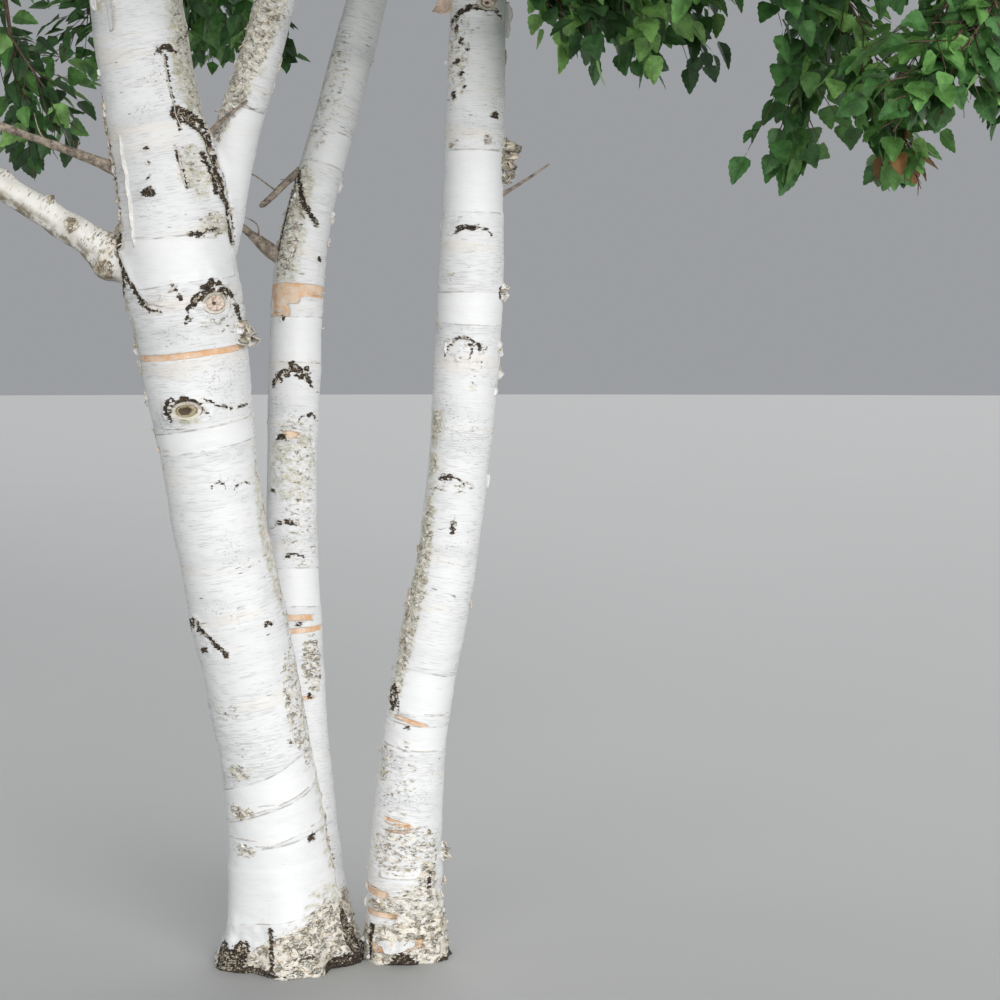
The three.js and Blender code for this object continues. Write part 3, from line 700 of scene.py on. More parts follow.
# %% Finish: bough bark
bough_bark, surface = new_material("bough_bark")
vector = field("bark", "Vector")
paper = use_group(paper_tone, vector, White=(0.86, 0.84, 0.79), Grey=(0.6, 0.57, 0.5),
                  Blush=(0.74, 0.63, 0.51))
young = blend(noise(stretched(vector, 40, 18), 1, 3), (0.15, 0.085, 0.055), (0.34, 0.23, 0.16))
thin = ease(field("thin"), 0.35, 0.9)
colour = blend(thin, paper["Color"], young)
marks = use_group(cross_marks, vector, Across=55, Along=300, Threshold=0.66)
colour = blend(times(marks["Mask"], 0.7), colour, (0.16, 0.12, 0.09))
# Darker olive-brown patches on the underside of each bough, fading out near the stem.
underside_darkening = ease(noise(vector, 26, 4, 0.65), 0.35, 0.6)
underside_darkening = times(underside_darkening, ease(field("under"), -0.05, 0.6, 0, 0.95))
colour = blend(underside_darkening, colour, (0.22, 0.18, 0.105))
old = use_group(flakes, vector, Pale=(0.74, 0.69, 0.58), Drab=(0.42, 0.35, 0.24), Paleness=0.48,
                Cells=85)
rough = mask_of(vector, "rough", 0.014, 60)
colour = blend(rough, colour, old["Color"])
height = times_plus(marks["Mask"], 0.0005, paper["Height"])
height = times_plus(rough, old["Height"], height)
gloss = ease(marks["Mask"], 0, 1, 0.55, 0.75)
finish_material(surface, colour, gloss, height)


# %% Finish: twig bark, dead wood and the faces of loose bark
def plain_bark_material(name, dark, light, marks_colour, roughness):
    """A brown bark without paper: streaks along and marks across."""
    material, surface = new_material(name)
    vector = add("TexCoord").outputs["Object"]
    streaks = noise(vector, 60, 4, 0.65)
    colour = blend(ease(streaks, 0.3, 0.7), dark, light)
    specks = ease(noise(vector, 420, 2), 0.6, 0.68)
    colour = blend(times(specks, 0.7), colour, marks_colour)
    gloss = ease(streaks, 0.3, 0.7, roughness - 0.1, roughness + 0.08)
    height = times_plus(streaks, 0.0012, times(specks, 0.0005))
    finish_material(surface, colour, gloss, height)
    return material


PLAIN_BARKS = [  # name, dark and light of the streaks, colour of the specks, roughness
    ("twig_bark", (0.075, 0.042, 0.028), (0.19, 0.115, 0.075), (0.42, 0.36, 0.3), 0.5),
    ("dead_wood", (0.1, 0.072, 0.052), (0.46, 0.38, 0.3), (0.7, 0.67, 0.6), 0.8),
    ("curl_outer", (0.72, 0.71, 0.69), (0.86, 0.86, 0.85), (0.36, 0.33, 0.28), 0.6),
    ("curl_inner", (0.62, 0.5, 0.37), (0.87, 0.79, 0.68), (0.36, 0.28, 0.18), 0.65),
    ("curl_tan", (0.66, 0.46, 0.34), (0.84, 0.71, 0.6), (0.36, 0.24, 0.16), 0.65),
    ("old_chip", (0.16, 0.13, 0.09), (0.62, 0.58, 0.48), (0.06, 0.045, 0.03), 0.8),
]
twig_bark, dead_wood, curl_outer, curl_inner, curl_tan, old_chip = (
    plain_bark_material(*row) for row in PLAIN_BARKS)

# %% [markdown]
# ## Where the marks lie
# The photographed side has its own scars, bands and torn places, each given by its height on the stem
# and its bearing round it, where -90 degrees faces the viewer. Every other side, and all above the
# view, gets marks of the same kinds by a seeded rule, so the tree is finished all round. Tables like
# these give lengths in millimetres and angles in degrees.

# %% Name the marks of the photographed side
MARKS = {}
MARKS["eye"] = {  # scars with bare wood inside: height, bearing, width, height of the wood, core's share
    "trunk_left": [(1709, -53, 60, 47, 0.22), (1445, -98, 66, 38, 0.55)],
    "trunk_right": [(2462, -71, 40, 30, 0.3)],
}
MARKS["brow"] = {  # black arches: top's height, bearing, half width, drop at the ends, thickness
    "trunk_left": [
        (1756, -53, 74, 76, 32), (1473, -98, 50, 40, 16), (2318, -53, 32, 8, 20), (1268, -76, 18, 14, 7),
        (1266, -44, 26, 10, 3), (912, -150, 60, 50, 12), (1890, -42, 30, 12, 6),
    ],
    "trunk_back": [
        (1540, -88, 60, 30, 40), (1421, -42, 36, 12, 12), (1135, -100, 30, 8, 11),
        (1048, -79, 28, 9, 10), (1222, -140, 18, 8, 10),
    ],
    "trunk_right": [
        (2452, -85, 75, 30, 12), (1905, -90, 50, 16, 13), (1628, -95, 50, 42, 9), (1608, -74, 16, 34, 9),
        (1270, -100, 36, 14, 14), (715, -141, 20, 40, 16), (1612, -75, 30, 12, 10),
    ],
}
MARKS["spot"] = {  # black or brown spots: height, bearing, width, height
    "trunk_left": [
        (1875, -65, 26, 14), (1872, -58, 20, 13), (2080, -99, 12, 10), (1975, -106, 38, 24),
        (26, -142, 110, 70), (68, -9, 60, 150), (60, -130, 50, 46), (8, -116, 140, 34),
        (46, -150, 50, 60), (2045, -101, 10, 9), (2012, -103, 12, 10), (838, -138, 34, 16),
        (906, -47, 24, 12), (347, -41, 26, 18), (600, -47, 16, 10), (1935, -160, 30, 22),
        (2020, -163, 26, 18), (2090, -160, 24, 14), (2485, -124, 36, 36), (1860, -160, 20, 50),
        (2200, -166, 20, 40),
    ],
    "trunk_back": [
        (1363, -112, 34, 22), (668, -64, 14, 12), (1843, -38, 18, 12), (862, -78, 16, 10),
        (1682, -114, 14, 12),
    ],
    "trunk_right": [
        (2186, -50, 23, 20), (1743, -22, 30, 34), (2372, -124, 16, 14), (2318, -132, 20, 12),
        (2290, -118, 14, 12), (2402, -136, 14, 18), (2236, -136, 18, 20), (2350, -108, 10, 8),
        (2255, -112, 10, 8), (1143, -86, 12, 34), (700, -144, 36, 66), (622, -105, 16, 9),
    ],
}
MARKS["crack"] = {  # dark lines: half width, then height and bearing of each point
    "trunk_left": [
        (18, 2165, -56, 2150, -38, 2125, -26, 2090, -20), (21, 2090, -20, 2030, -17, 1980, -14),
        (17, 1980, -14, 1930, -10, 1870, -8), (6, 2070, -38, 2030, -33, 1975, -29),
        (9, 1890, -176, 1830, -166, 1779, -150), (6, 1779, -150, 1717, -131, 1692, -120),
        (3, 1692, -120, 1687, -108), (1.6, 1478, -80, 1456, -60, 1450, -45, 1462, -18),
        (3.5, 1758, -94, 1738, -90, 1718, -86), (6, 1472, -112, 1460, -121, 1440, -123, 1422, -119),
        (6, 908, -170, 886, -130, 830, -104), (3, 2303, -55, 2215, -57, 2125, -59),
        (3, 2081, -68, 2035, -65, 1986, -63), (5, 120, -99, 60, -98, 10, -98),
        (6, 1632, -16, 1668, -20, 1700, -24),
    ],
    "trunk_left_fork": [(11, 2105, -160, 2060, -130, 2020, -106, 1950, -84, 1880, -60)],
    "trunk_back": [
        (7, 2080, -150, 2040, -128, 2001, -108, 1960, -80, 1934, -60),
        (4, 2090, -158, 1980, -152, 1840, -150),
    ],
    "trunk_right": [
        (7, 100, -139, 60, -140, 10, -139), (5, 236, -48, 200, -50),
        (7, 2418, -160, 2440, -125, 2452, -106),
    ],
}
MARKS["fresh"] = {  # smooth white bands: low, high, bearing, half span and any rise to the right
    "trunk_left": [
        (1752, 1866, -90, 74), (1345, 1400, -85, 100, 0.05), (440, 520, -75, 108, 0.24),
        (345, 430, -75, 108, 0.24), (140, 330, -85, 112, 0.1),
    ],
    "trunk_left_fork": [(1950, 2190, -60, 80)],
    "trunk_back": [(905, 1010, -90, 120), (1565, 1690, -80, 100), (2100, 2185, -70, 80)],
    "trunk_right": [
        (1943, 2100, -90, 150), (1660, 1740, -80, 120), (560, 626, -80, 110), (655, 760, -70, 62),
        (226, 256, -95, 40),
    ],
}
MARKS["inner"] = {  # orange inner bark, in the same order
    "trunk_left": [(1575, 1590, -84, 72)],
    "trunk_back": [
        (1742, 1776, -90, 95), (1690, 1745, -128, 22), (1722, 1745, -98, 16), (870, 885, -85, 44),
        (838, 852, -70, 60, 0.06), (1356, 1378, -88, 12), (657, 668, -76, 22),
    ],
    "trunk_right": [
        (634, 646, -104, 28, -0.12), (362, 378, -108, 22, -0.2), (176, 196, -140, 22, -0.1),
        (122, 136, -130, 26), (36, 60, -100, 36, 0.1), (345, 352, -104, 14),
    ],
}
MARKS["patch"] = {  # rough grey places: height, bearing, width, height, cover
    "trunk_left": [
        (2030, -50, 90, 110, -4), (2300, -20, 60, 400, -1), (519, -122, 70, 40, 2),
        (417, -128, 80, 36, 2), (317, -129, 70, 30, 2), (960, -4, 50, 800, -3), (680, -22, 100, 280, 0),
        (1900, -40, 80, 50, -1), (300, 4, 50, 300, 1), (1670, -40, 130, 60, -3),
        (1720, -175, 80, 300, -2), (680, -120, 60, 30, -3), (2020, -165, 40, 360, 2),
    ],
    "trunk_left_fork": [(2560, -125, 130, 720, 1), (2300, -135, 80, 360, 2), (2420, -70, 60, 100, -1)],
    "trunk_back": [
        (1940, -125, 70, 300, 3), (1300, -70, 130, 230, -3), (750, -50, 60, 140, 1),
        (1120, -60, 100, 200, -4), (2300, -120, 80, 300, -3),
    ],
    "trunk_right": [
        (2330, -134, 70, 200, -1), (1590, -100, 110, 70, -5), (1400, -146, 40, 66, 0),
        (1300, -146, 28, 56, 0), (960, -140, 56, 520, 1), (530, -150, 50, 90, -1),
        (480, -112, 90, 200, -4), (300, -90, 200, 130, 0), (81, -50, 80, 70, 4), (154, -130, 70, 30, 8),
        (150, -70, 160, 100, 0), (1250, -100, 90, 30, -2), (215, -50, 60, 110, 5),
        (2123, -64, 22, 28, 0), (2117, -139, 34, 22, 0), (1780, -126, 28, 16, -2),
        (1504, -79, 26, 18, -1), (2400, -125, 60, 60, -3),
    ],
}
MARKS["stain"] = {  # olive stains: height, bearing, width, height, cover
    "trunk_left": [
        (2300, -20, 110, 460, 20), (2030, -48, 90, 120, 6), (1900, -36, 110, 50, 4),
        (1120, -10, 70, 380, 4), (1440, -98, 74, 56, 16), (440, -4, 80, 520, -3),
        (110, -25, 220, 220, 1), (2470, -130, 60, 120, 6), (1760, -166, 70, 460, 4),
    ],
    "trunk_left_fork": [(2500, -118, 120, 660, 20)],
    "trunk_back": [(1300, -80, 140, 200, 0), (1930, -120, 90, 320, 3)],
    "trunk_right": [
        (1400, -146, 50, 90, 12), (1300, -146, 34, 70, 12), (960, -142, 62, 540, 10),
        (90, -50, 110, 130, 10), (150, -75, 170, 100, 2),
    ],
}
LENGTHS = {  # the places in a row that hold a length
    "eye": (0, 2, 3),
    "brow": (0, 2, 3, 4),
    "spot": (0, 2, 3),
    "crack": (0, 1, 3, 5, 7, 9),
    "fresh": (0, 1),
    "inner": (0, 1),
    "patch": (0, 2, 3, 4),
    "stain": (0, 2, 3, 4),
}
FOOT = {  # the rough bark at the ground: height, bearing where it reaches highest, rise towards there
    "trunk_left": (95, -15, 70),
    "trunk_back": (120, -60, 30),
    "trunk_right": (110, -60, 30),
}


def metres(rows, lengths):
    """Rows with the values at the given places turned from millimetres into metres."""
    return [[v / 1000 if i in lengths else v for i, v in enumerate(row)] for row in rows]


print("named", sum(len(rows) for kind in MARKS.values() for rows in kind.values()), "marks")

# %% Scatter marks of the same kinds over the other sides
VIEW_TOP = 2.5  # the photographed side is marked one by one up to here
MARKS_PER_METRE = 7
UP_TO = {"eye": 0.1, "brow": 0.48, "spot": 0.7, "inner": 0.76, "patch": 0.9}  # shares, added up


def scattered(name):
    """Seeded marks for one stem: everywhere above the view, and on the far side below it."""
    draws = np.random.default_rng(SEED_STEP + len(name))
    low, high = stem_path(name)[0, 2], stem_path(name)[-1, 2]
    made = {kind: [] for kind in MARKS}
    for z in np.arange(low + 0.12, high, 1 / MARKS_PER_METRE):
        height = z + draws.uniform(-0.05, 0.05)
        bearing = draws.uniform(-180, 180) if height > VIEW_TOP else draws.uniform(8, 172)
        size = stem_at(name, height)[1] / 0.1
        kind = draws.random()
        if kind < UP_TO["eye"]:
            made["eye"].append((height, bearing, 0.045 * size, 0.03 * size, 0.4))
            made["brow"].append((height + 0.03 * size, bearing, 0.06 * size, 0.05 * size, 0.01 * size))
        elif kind < UP_TO["brow"]:
            made["brow"].append((height, bearing, draws.uniform(0.025, 0.06) * size,
                                  draws.uniform(0.01, 0.04) * size, draws.uniform(0.006, 0.012) * size))
        elif kind < UP_TO["spot"]:
            made["spot"].append((height, bearing, draws.uniform(0.02, 0.05) * size, 0.014 * size))
        elif kind < UP_TO["inner"]:
            made["inner"].append((height, height + draws.uniform(0.01, 0.03), bearing, 40))
        elif kind < UP_TO["patch"]:
            made["patch"].append((height, bearing, 0.1 * size, draws.uniform(0.04, 0.12), 0.0))
        else:
            span = draws.uniform(40, 80) if height < VIEW_TOP else 180
            made["fresh"].append((height, height + draws.uniform(0.05, 0.14), bearing, span))
    return made


hidden_marks = {name: scattered(name) for name in STEMS}
print("scattered", sum(len(rows) for made in hidden_marks.values() for rows in made.values()), "marks")

# %% [markdown]
# ## Stems with their bark's relief
# Each stem is a grid of corners round its curve. Every mark moves the grid in or out a little and adds
# to the fields that the finish reads, so a scar is a real hollow with a real brow.

# %% Helpers that lay marks on a stem
RING_STEP = 0.005
RING_STEP_HIGH = 0.026
FRONT_FINENESS = 0.35  # how much closer the corners lie on the photographed side
FAR = -0.05  # a field's value where nothing is near
BAND_TAPER = 0.045  # how far from its ends a band begins to narrow
SLOPE_STEP = 0.01


def ring_heights(name):
    """Heights of a stem's rings: close together within the view, wider apart above it."""
    low, high = stem_path(name)[0, 2], stem_path(name)[-1, 2]
    close = np.arange(low, VIEW_TOP + 0.1, RING_STEP)
    wide = np.linspace(close[-1], high, int((high - close[-1]) / RING_STEP_HIGH) + 1)[1:]
    return np.concatenate([close, wide])


def hill(x):
    """A smooth hill: 1 at 0, and almost 0 beyond 2 on both sides."""
    return np.exp(-x ** 2)


class Surface:
    """A stem's grid of corners, its bark coordinates and its fields."""

    def __init__(self, name):
        self.name = name
        sides = STEMS[name]["sides"]
        self.heights = ring_heights(name)
        even = even_turns(sides)
        self.turns = even - FRONT_FINENESS * np.cos(even)
        z, angle = np.meshgrid(self.heights, self.turns, indexing="ij")
        self.shape = z.shape
        self.z, self.angle = z.ravel(), angle.ravel()
        self.middle = stem_at(name, self.z)[0]
        self.radius = flared_radius(name, self.z, self.angle)
        self.spoke = compass(self.angle)
        self.place = self.middle + self.spoke * self.radius[:, None]
        self.level = self.level_at(self.z, self.angle, self.radius)
        self.bark = np.column_stack([self.radius[:, None] * self.spoke[:, :2], self.level])
        self.out = np.zeros(len(self.z))
        kinds = ("dark", "wood", "core", "fresh", "inner", "rough", "moss")
        self.fields = {key: np.full(len(self.z), FAR) for key in kinds}

    def slope_at(self, z):
        """How far the stem's middle moves sideways for each metre that it rises."""
        above, below = (stem_at(self.name, z + step)[0] for step in (SLOPE_STEP, -SLOPE_STEP))
        return (above - below)[..., :2] / (2 * SLOPE_STEP)

    def level_at(self, z, angle, radius):
        """Height measured along the leaning stem, so that bands run square to it."""
        slope = self.slope_at(z)
        return z + radius * (np.cos(angle) * slope[..., 0] + np.sin(angle) * slope[..., 1])

    def local(self, height, bearing):
        """Distances round the stem and up it from a place on its surface."""
        angle = math.radians(bearing)
        level = self.level_at(height, angle, stem_at(self.name, height)[1])
        turn = (self.angle - angle + math.pi) % (2 * math.pi) - math.pi
        return turn * self.radius, self.level - level

    def put(self, key, values):
        self.fields[key] = np.maximum(self.fields[key], values)

    def oval(self, height, bearing, width, tall):
        """Places and distances measured by an oval, 1 at its edge, and the depth inside it."""
        u, v = self.local(height, bearing)
        u, v = u / (width / 2), v / (tall / 2)
        q = np.hypot(u, v)
        return u, v, q, (1 - q) * min(width, tall) / 2

    def eye(self, height, bearing, width, tall, core):
        """Bare wood with a dark core, in a bulge with a torn rim above and rings of bark below."""
        u, v, q, _ = self.oval(height, bearing, width, tall)
        self.put("wood", (0.8 - q) * tall / 2)
        self.put("core", (core - np.hypot(u + 0.1, v)) * tall / 2)
        rim = 1.12 + 0.3 * np.clip(v, -0.3, 1)
        upper = np.clip(v + 0.2, 0, 1)
        self.put("dark", np.minimum(rim - q, q - 0.9) * tall / 2 - 0.004 * (1 - upper))
        rings = np.cos(q * 9) * hill((q - 1.6) / 0.8) * np.where(v < 0, 1.0, 0.3)
        self.out += 0.012 * hill(q / 1.8) - 0.009 * hill(q / 0.6) + 0.002 * rings

    def brow(self, height, bearing, half, drop, thick):
        """A black arch, thickest in its middle, with torn edges and a lip above it."""
        u, v = self.local(height, bearing)
        share = np.clip(u / half, -1.6, 1.6)
        arch = -drop * share ** 2 + 0.4 * thick * smooth_noise(self.bark, 75, 17)
        lean = np.hypot(1, 2 * drop * share / half)
        torn = 0.8 + 0.7 * smooth_noise(self.bark, 55, 16)
        fade = np.clip(1.12 - np.abs(share), 0, 1) ** 0.6 * torn
        gap = np.abs(v - arch) / lean
        near = np.abs(share) < 1.12
        self.put("dark", np.where(near, thick * fade / 2 - gap, FAR))
        weight = np.clip(fade, 0, 1) * near
        self.out += 0.0045 * hill((v - arch - thick * 0.5) / thick) * weight
        self.out -= 0.003 * hill(gap / (thick * 0.5)) * weight
        inside = (v < arch) & (v > arch - 0.03) & (np.abs(share) < 1)
        self.out -= 0.0015 * inside * hill(gap / 0.012)

    def spot(self, *row):
        *_, q, depth = self.oval(*row)
        self.put("dark", depth)
        self.out += 0.0022 * hill((q - 1) / 0.6) - 0.003 * hill(q / 0.6)

    def crack(self, half, *points):
        """A dark line through points given by height and bearing in turn."""
        places = [self.local(*point) for point in zip(points[::2], points[1::2])]
        for (u1, v1), (u2, v2) in zip(places, places[1:]):
            run_u, run_v = u1 - u2, v1 - v2
            run = np.maximum(np.hypot(run_u, run_v), 1e-6)
            t = np.clip((u1 * run_u + v1 * run_v) / run ** 2, 0, 1)
            gap = np.hypot(u1 - t * run_u, v1 - t * run_v)
            self.put("dark", half - gap)
            self.out += 0.3 * half * (hill(gap / half - 1.5) - hill(gap / half))

    def band(self, key, step, low, high, bearing, span, rise=0):
        """A strip round the stem where a layer of bark has gone."""
        u, v = self.local((low + high) / 2, bearing)
        wobble = min(0.004, (high - low) * 0.15) * smooth_noise(self.bark, 12, 5)
        v = v - rise * u + wobble
        half = (high - low) / 2
        inside = half - np.abs(v)
        if span < 180:
            ends = math.radians(span) * self.radius - np.abs(u)
            ends += 0.012 * smooth_noise(self.bark, (9, 9, 60), 6)
            inside = np.minimum(inside, ends * half / BAND_TAPER)
        self.put(key, inside)
        self.out -= step / (1 + np.exp(-np.clip(inside / 0.0012, -30, 30)))

    def fresh(self, *row):
        self.band("fresh", 0.0011, *row)

    def inner(self, *row):
        self.band("inner", 0.0014, *row)

    def patch(self, height, bearing, width, tall, cover):
        *_, q, depth = self.oval(height, bearing, width, tall)
        self.put("rough", np.minimum(depth, cover))
        crumbs = smooth_noise(self.bark, (110, 110, 150), 7)
        self.out += 0.0018 * crumbs * np.clip((1.2 - q) * 4, 0, 1)

    def stain(self, height, bearing, width, tall, cover):
        self.put("moss", np.minimum(self.oval(height, bearing, width, tall)[-1], cover))

    def skin_at(self, z, angle):
        """The bark's distance from the stem's middle at places between the corners."""
        ring = np.clip(np.searchsorted(self.heights, z), 0, self.shape[0] - 1)
        first = self.turns[0]
        side = np.searchsorted(self.turns, (angle - first) % (2 * math.pi) + first) % self.shape[1]
        return (self.radius + self.out).reshape(self.shape)[ring, side]


print("stem grids have a ring each", RING_STEP, "m")


# %% Helpers for what holds all over a stem
BOUGH_SWELL = 0.3  # as a share of the bough's radius
GROWN_TOGETHER = [("trunk_left", "trunk_back")]
PARTING_HEIGHT = 0.56
JOIN_FILL = 0.03
LUMPS = [(0.0045, 3.5), (0.002, (9, 9, 22)), (0.0007, (30, 30, 90))]  # height, cells a metre


def swell_at_boughs(surface):
    """The stem swells to meet each bough, with a dark wrinkle over the join."""
    for bough in boughs:
        if bough["stem"] != surface.name:
            continue
        near = np.abs(surface.z - bough["height"]) < 0.5
        shares = np.linspace(0.0, 0.3, 16)
        points, radii = bough_at(bough, shares), bough_radius(bough, shares)
        place = surface.place[near]
        gaps = np.linalg.norm(place[:, None] - points, axis=2) - radii
        gap = gaps.min(1)
        above = place[:, 2] > bough["height"] - 0.02
        spread = np.where(above, 0.03, 0.03 + bough["radius"])
        surface.out[near] += BOUGH_SWELL * bough["radius"] * hill(np.maximum(gap, 0) / spread)
        line = np.where(above, 0.006, -0.004) - np.abs(gap - 0.004)
        surface.fields["dark"][near] = np.maximum(surface.fields["dark"][near], line)


def grow_together(surface):
    """Below the parting of two stems that share a foot, the bark of both bulges until it meets."""
    for pair in GROWN_TOGETHER:
        if surface.name not in pair:
            continue
        other = pair[1 - pair.index(surface.name)]
        middle, radius = stem_at(other, surface.z)
        gap = np.linalg.norm(surface.place - middle, axis=1) - radius
        fill = JOIN_FILL * np.log1p(np.exp(-np.clip(gap / JOIN_FILL, -1.2, 20)))
        surface.out += fill / (1 + np.exp((surface.z - PARTING_HEIGHT) / 0.03))
        fold = (gap < 0.03) & (surface.z < PARTING_HEIGHT) & (surface.z > 0.2)
        for key in ("dark", "rough", "inner", "fresh"):
            surface.fields[key][fold] = FAR


def weather_foot(surface):
    """Rough old bark, with plates and folds, where the stem meets the ground."""
    if surface.name not in FOOT:
        return
    top, bearing, rise = metres([FOOT[surface.name]], (0, 2))[0]
    tilt = rise * np.cos(surface.angle - math.radians(bearing))
    edge = top + tilt + 0.03 * smooth_noise(surface.bark, 9, 8)
    surface.put("rough", np.minimum((edge - surface.z) * 0.6, 0.008))
    low = np.clip(1 - surface.z / (top * 1.6), 0, 1)
    folds = smooth_noise(surface.bark, (24, 24, 9), 9) * 0.014
    plates = smooth_noise(surface.bark, 60, 10) * 0.007
    surface.out += (folds + plates) * low ** 0.8
    black = smooth_noise(surface.bark, 14, 11)
    surface.put("dark", np.minimum((0.022 - surface.z) * 0.4 + (black - 0.2) * 0.02, 0.006))


def wrinkle_all(surface):
    """The slight lumps, waists and cross wrinkles of the whole stem."""
    size = np.clip(surface.radius / 0.1, 0.3, 1.3)
    for seed, (height, cells) in enumerate(LUMPS, 1):
        surface.out += size * height * smooth_noise(surface.bark, cells, seed)
    layer = smooth_noise(surface.bark, (1.5, 1.5, 9), 4)
    surface.out += size * 0.001 * np.tanh(layer * 14)


def marks_for(name):
    """The listed and the scattered marks of one stem, by kind."""
    return {kind: metres(table.get(name, []), LENGTHS[kind]) + hidden_marks[name][kind]
            for kind, table in MARKS.items()}


def close_ends(surface, corners):
    """The grid's quads with a fan over each end, and the two middles that the fans need."""
    rings, sides = surface.shape
    side = np.arange(sides)
    after = (side + 1) % sides
    last = (rings - 1) * sides
    low, high = len(corners), len(corners) + 1
    foot = np.stack([np.full(sides, low), after, side], 1)
    tip = np.stack([np.full(sides, high), last + side, last + after], 1)
    middles = np.array([corners[:sides].mean(0), corners[last:].mean(0)])
    return np.vstack([corners, middles]), [ring_faces(rings, sides), np.vstack([foot, tip])]


print("stem helpers ready")


# %% Build the four stems
def build_stem(name):
    surface = Surface(name)
    wrinkle_all(surface)
    for kind, rows in marks_for(name).items():
        for row in rows:
            getattr(surface, kind)(*row)
    swell_at_boughs(surface)
    grow_together(surface)
    weather_foot(surface)
    corners = surface.middle + surface.spoke * (surface.radius + surface.out)[:, None]
    corners[:, 2] = np.maximum(corners[:, 2], 0)
    corners, faces = close_ends(surface, corners)
    ends = [0, -1]
    fields = {key: np.append(values, values[ends]) for key, values in surface.fields.items()}
    fields["bark"] = np.vstack([surface.bark, surface.bark[ends]])
    dress([name], "bark", "bark_" + name, corners, faces, [white_bark], fields=fields)
    return surface


surfaces = {name: build_stem(name) for name in STEMS}


# %% [markdown]
# ## Loose bark
# Paper birch sheds its bark in sheets that let go along one edge and roll outward, so their tan inner
# face shows. Each sheet is a thin closed mesh that starts on the bark and follows a curve that turns
# more and more. Large ones are placed one by one, small ones by a seeded rule along torn edges, and small
# chips stand on every rough or black place.

# %% Name the sheets that the photographed side shows
SHEETS = {  # height, bearing, width of the held edge, reach, direction of the reach, turn of the roll
    "trunk_left": [
        (1642, -20, 44, 58, 0, 150), (1618, -14, 38, 68, 10, 180), (1648, -26, 22, 34, 60, 200),
        (2396, -121, 80, 34, 0, 40), (1980, -130, 270, 17, 180, 170), (2215, -57, 180, 7, 180, 80),
        (2035, -65, 100, 7, 180, 80), (1745, -93, 26, 20, -60, 130), (1700, -112, 40, 12, 80, 110),
        (1590, -165, 20, 16, 180, 200), (1560, -168, 24, 16, 180, 240), (180, -8, 50, 12, 30, 120),
        (2440, -140, 60, 18, 180, 60),
    ],
    "trunk_left_fork": [(2216, -106, 22, 26, 180, 100), (2175, -120, 50, 16, 90, 120)],
    "trunk_back": [
        (2039, -2, 28, 20, 0, 170), (1952, -2, 28, 20, 0, 170), (1748, -40, 50, 7, -90, 120),
        (1702, -126, 24, 8, -90, 120), (1340, -30, 20, 12, 0, 150), (868, -60, 40, 8, 90, 120),
    ],
    "trunk_right": [
        (2090, -12, 36, 52, 10, 150), (2430, -8, 90, 30, 0, 200), (1752, -22, 32, 22, 0, 150),
        (1735, -20, 24, 26, -30, 190), (1608, -21, 22, 18, 0, 180), (1531, -8, 22, 20, 0, 180),
        (1488, -24, 20, 16, 0, 180), (278, -10, 40, 42, -40, 90), (374, -112, 50, 12, -90, 150),
        (360, -100, 32, 11, -80, 130), (64, -101, 90, 32, -90, 35), (190, -138, 60, 12, 90, 120),
        (110, -128, 55, 10, -90, 90), (640, -118, 34, 10, 90, 110), (1600, -128, 30, 12, 180, 140),
    ],
}
TORN_EDGES = {  # low, high, bearing and number of rolls on edges where the bark comes off in small rolls
    "trunk_left": [(1280, 1620, -172, 9), (1830, 2280, -168, 34), (1880, 2120, -8, 12)],
    "trunk_left_fork": [(2150, 2600, -172, 10)],
    "trunk_back": [(1780, 2100, -172, 10), (1450, 2100, -4, 6)],
    "trunk_right": [(40, 320, -8, 9), (1420, 1620, -6, 4), (40, 250, -170, 5), (300, 1400, -178, 8)],
}
SHEETS_PER_METRE = 11
SHEETS_UP_TO = 4.6
SEEN = (-172, -8)  # bearings that the photograph shows face on, where no seeded roll is added
CHIPS = {"trunk_left": 260, "trunk_left_fork": 60, "trunk_back": 150, "trunk_right": 220}
SHEET_THICKNESS = 0.0009
SHEET_LIFT = 0.0012  # how far a sheet stands off the bark, but for its held edge
SHEET_TUCK = 0.0008  # how deep the held edge lies in the bark
print("placed by hand:", sum(len(rows) for rows in SHEETS.values()), "sheets")


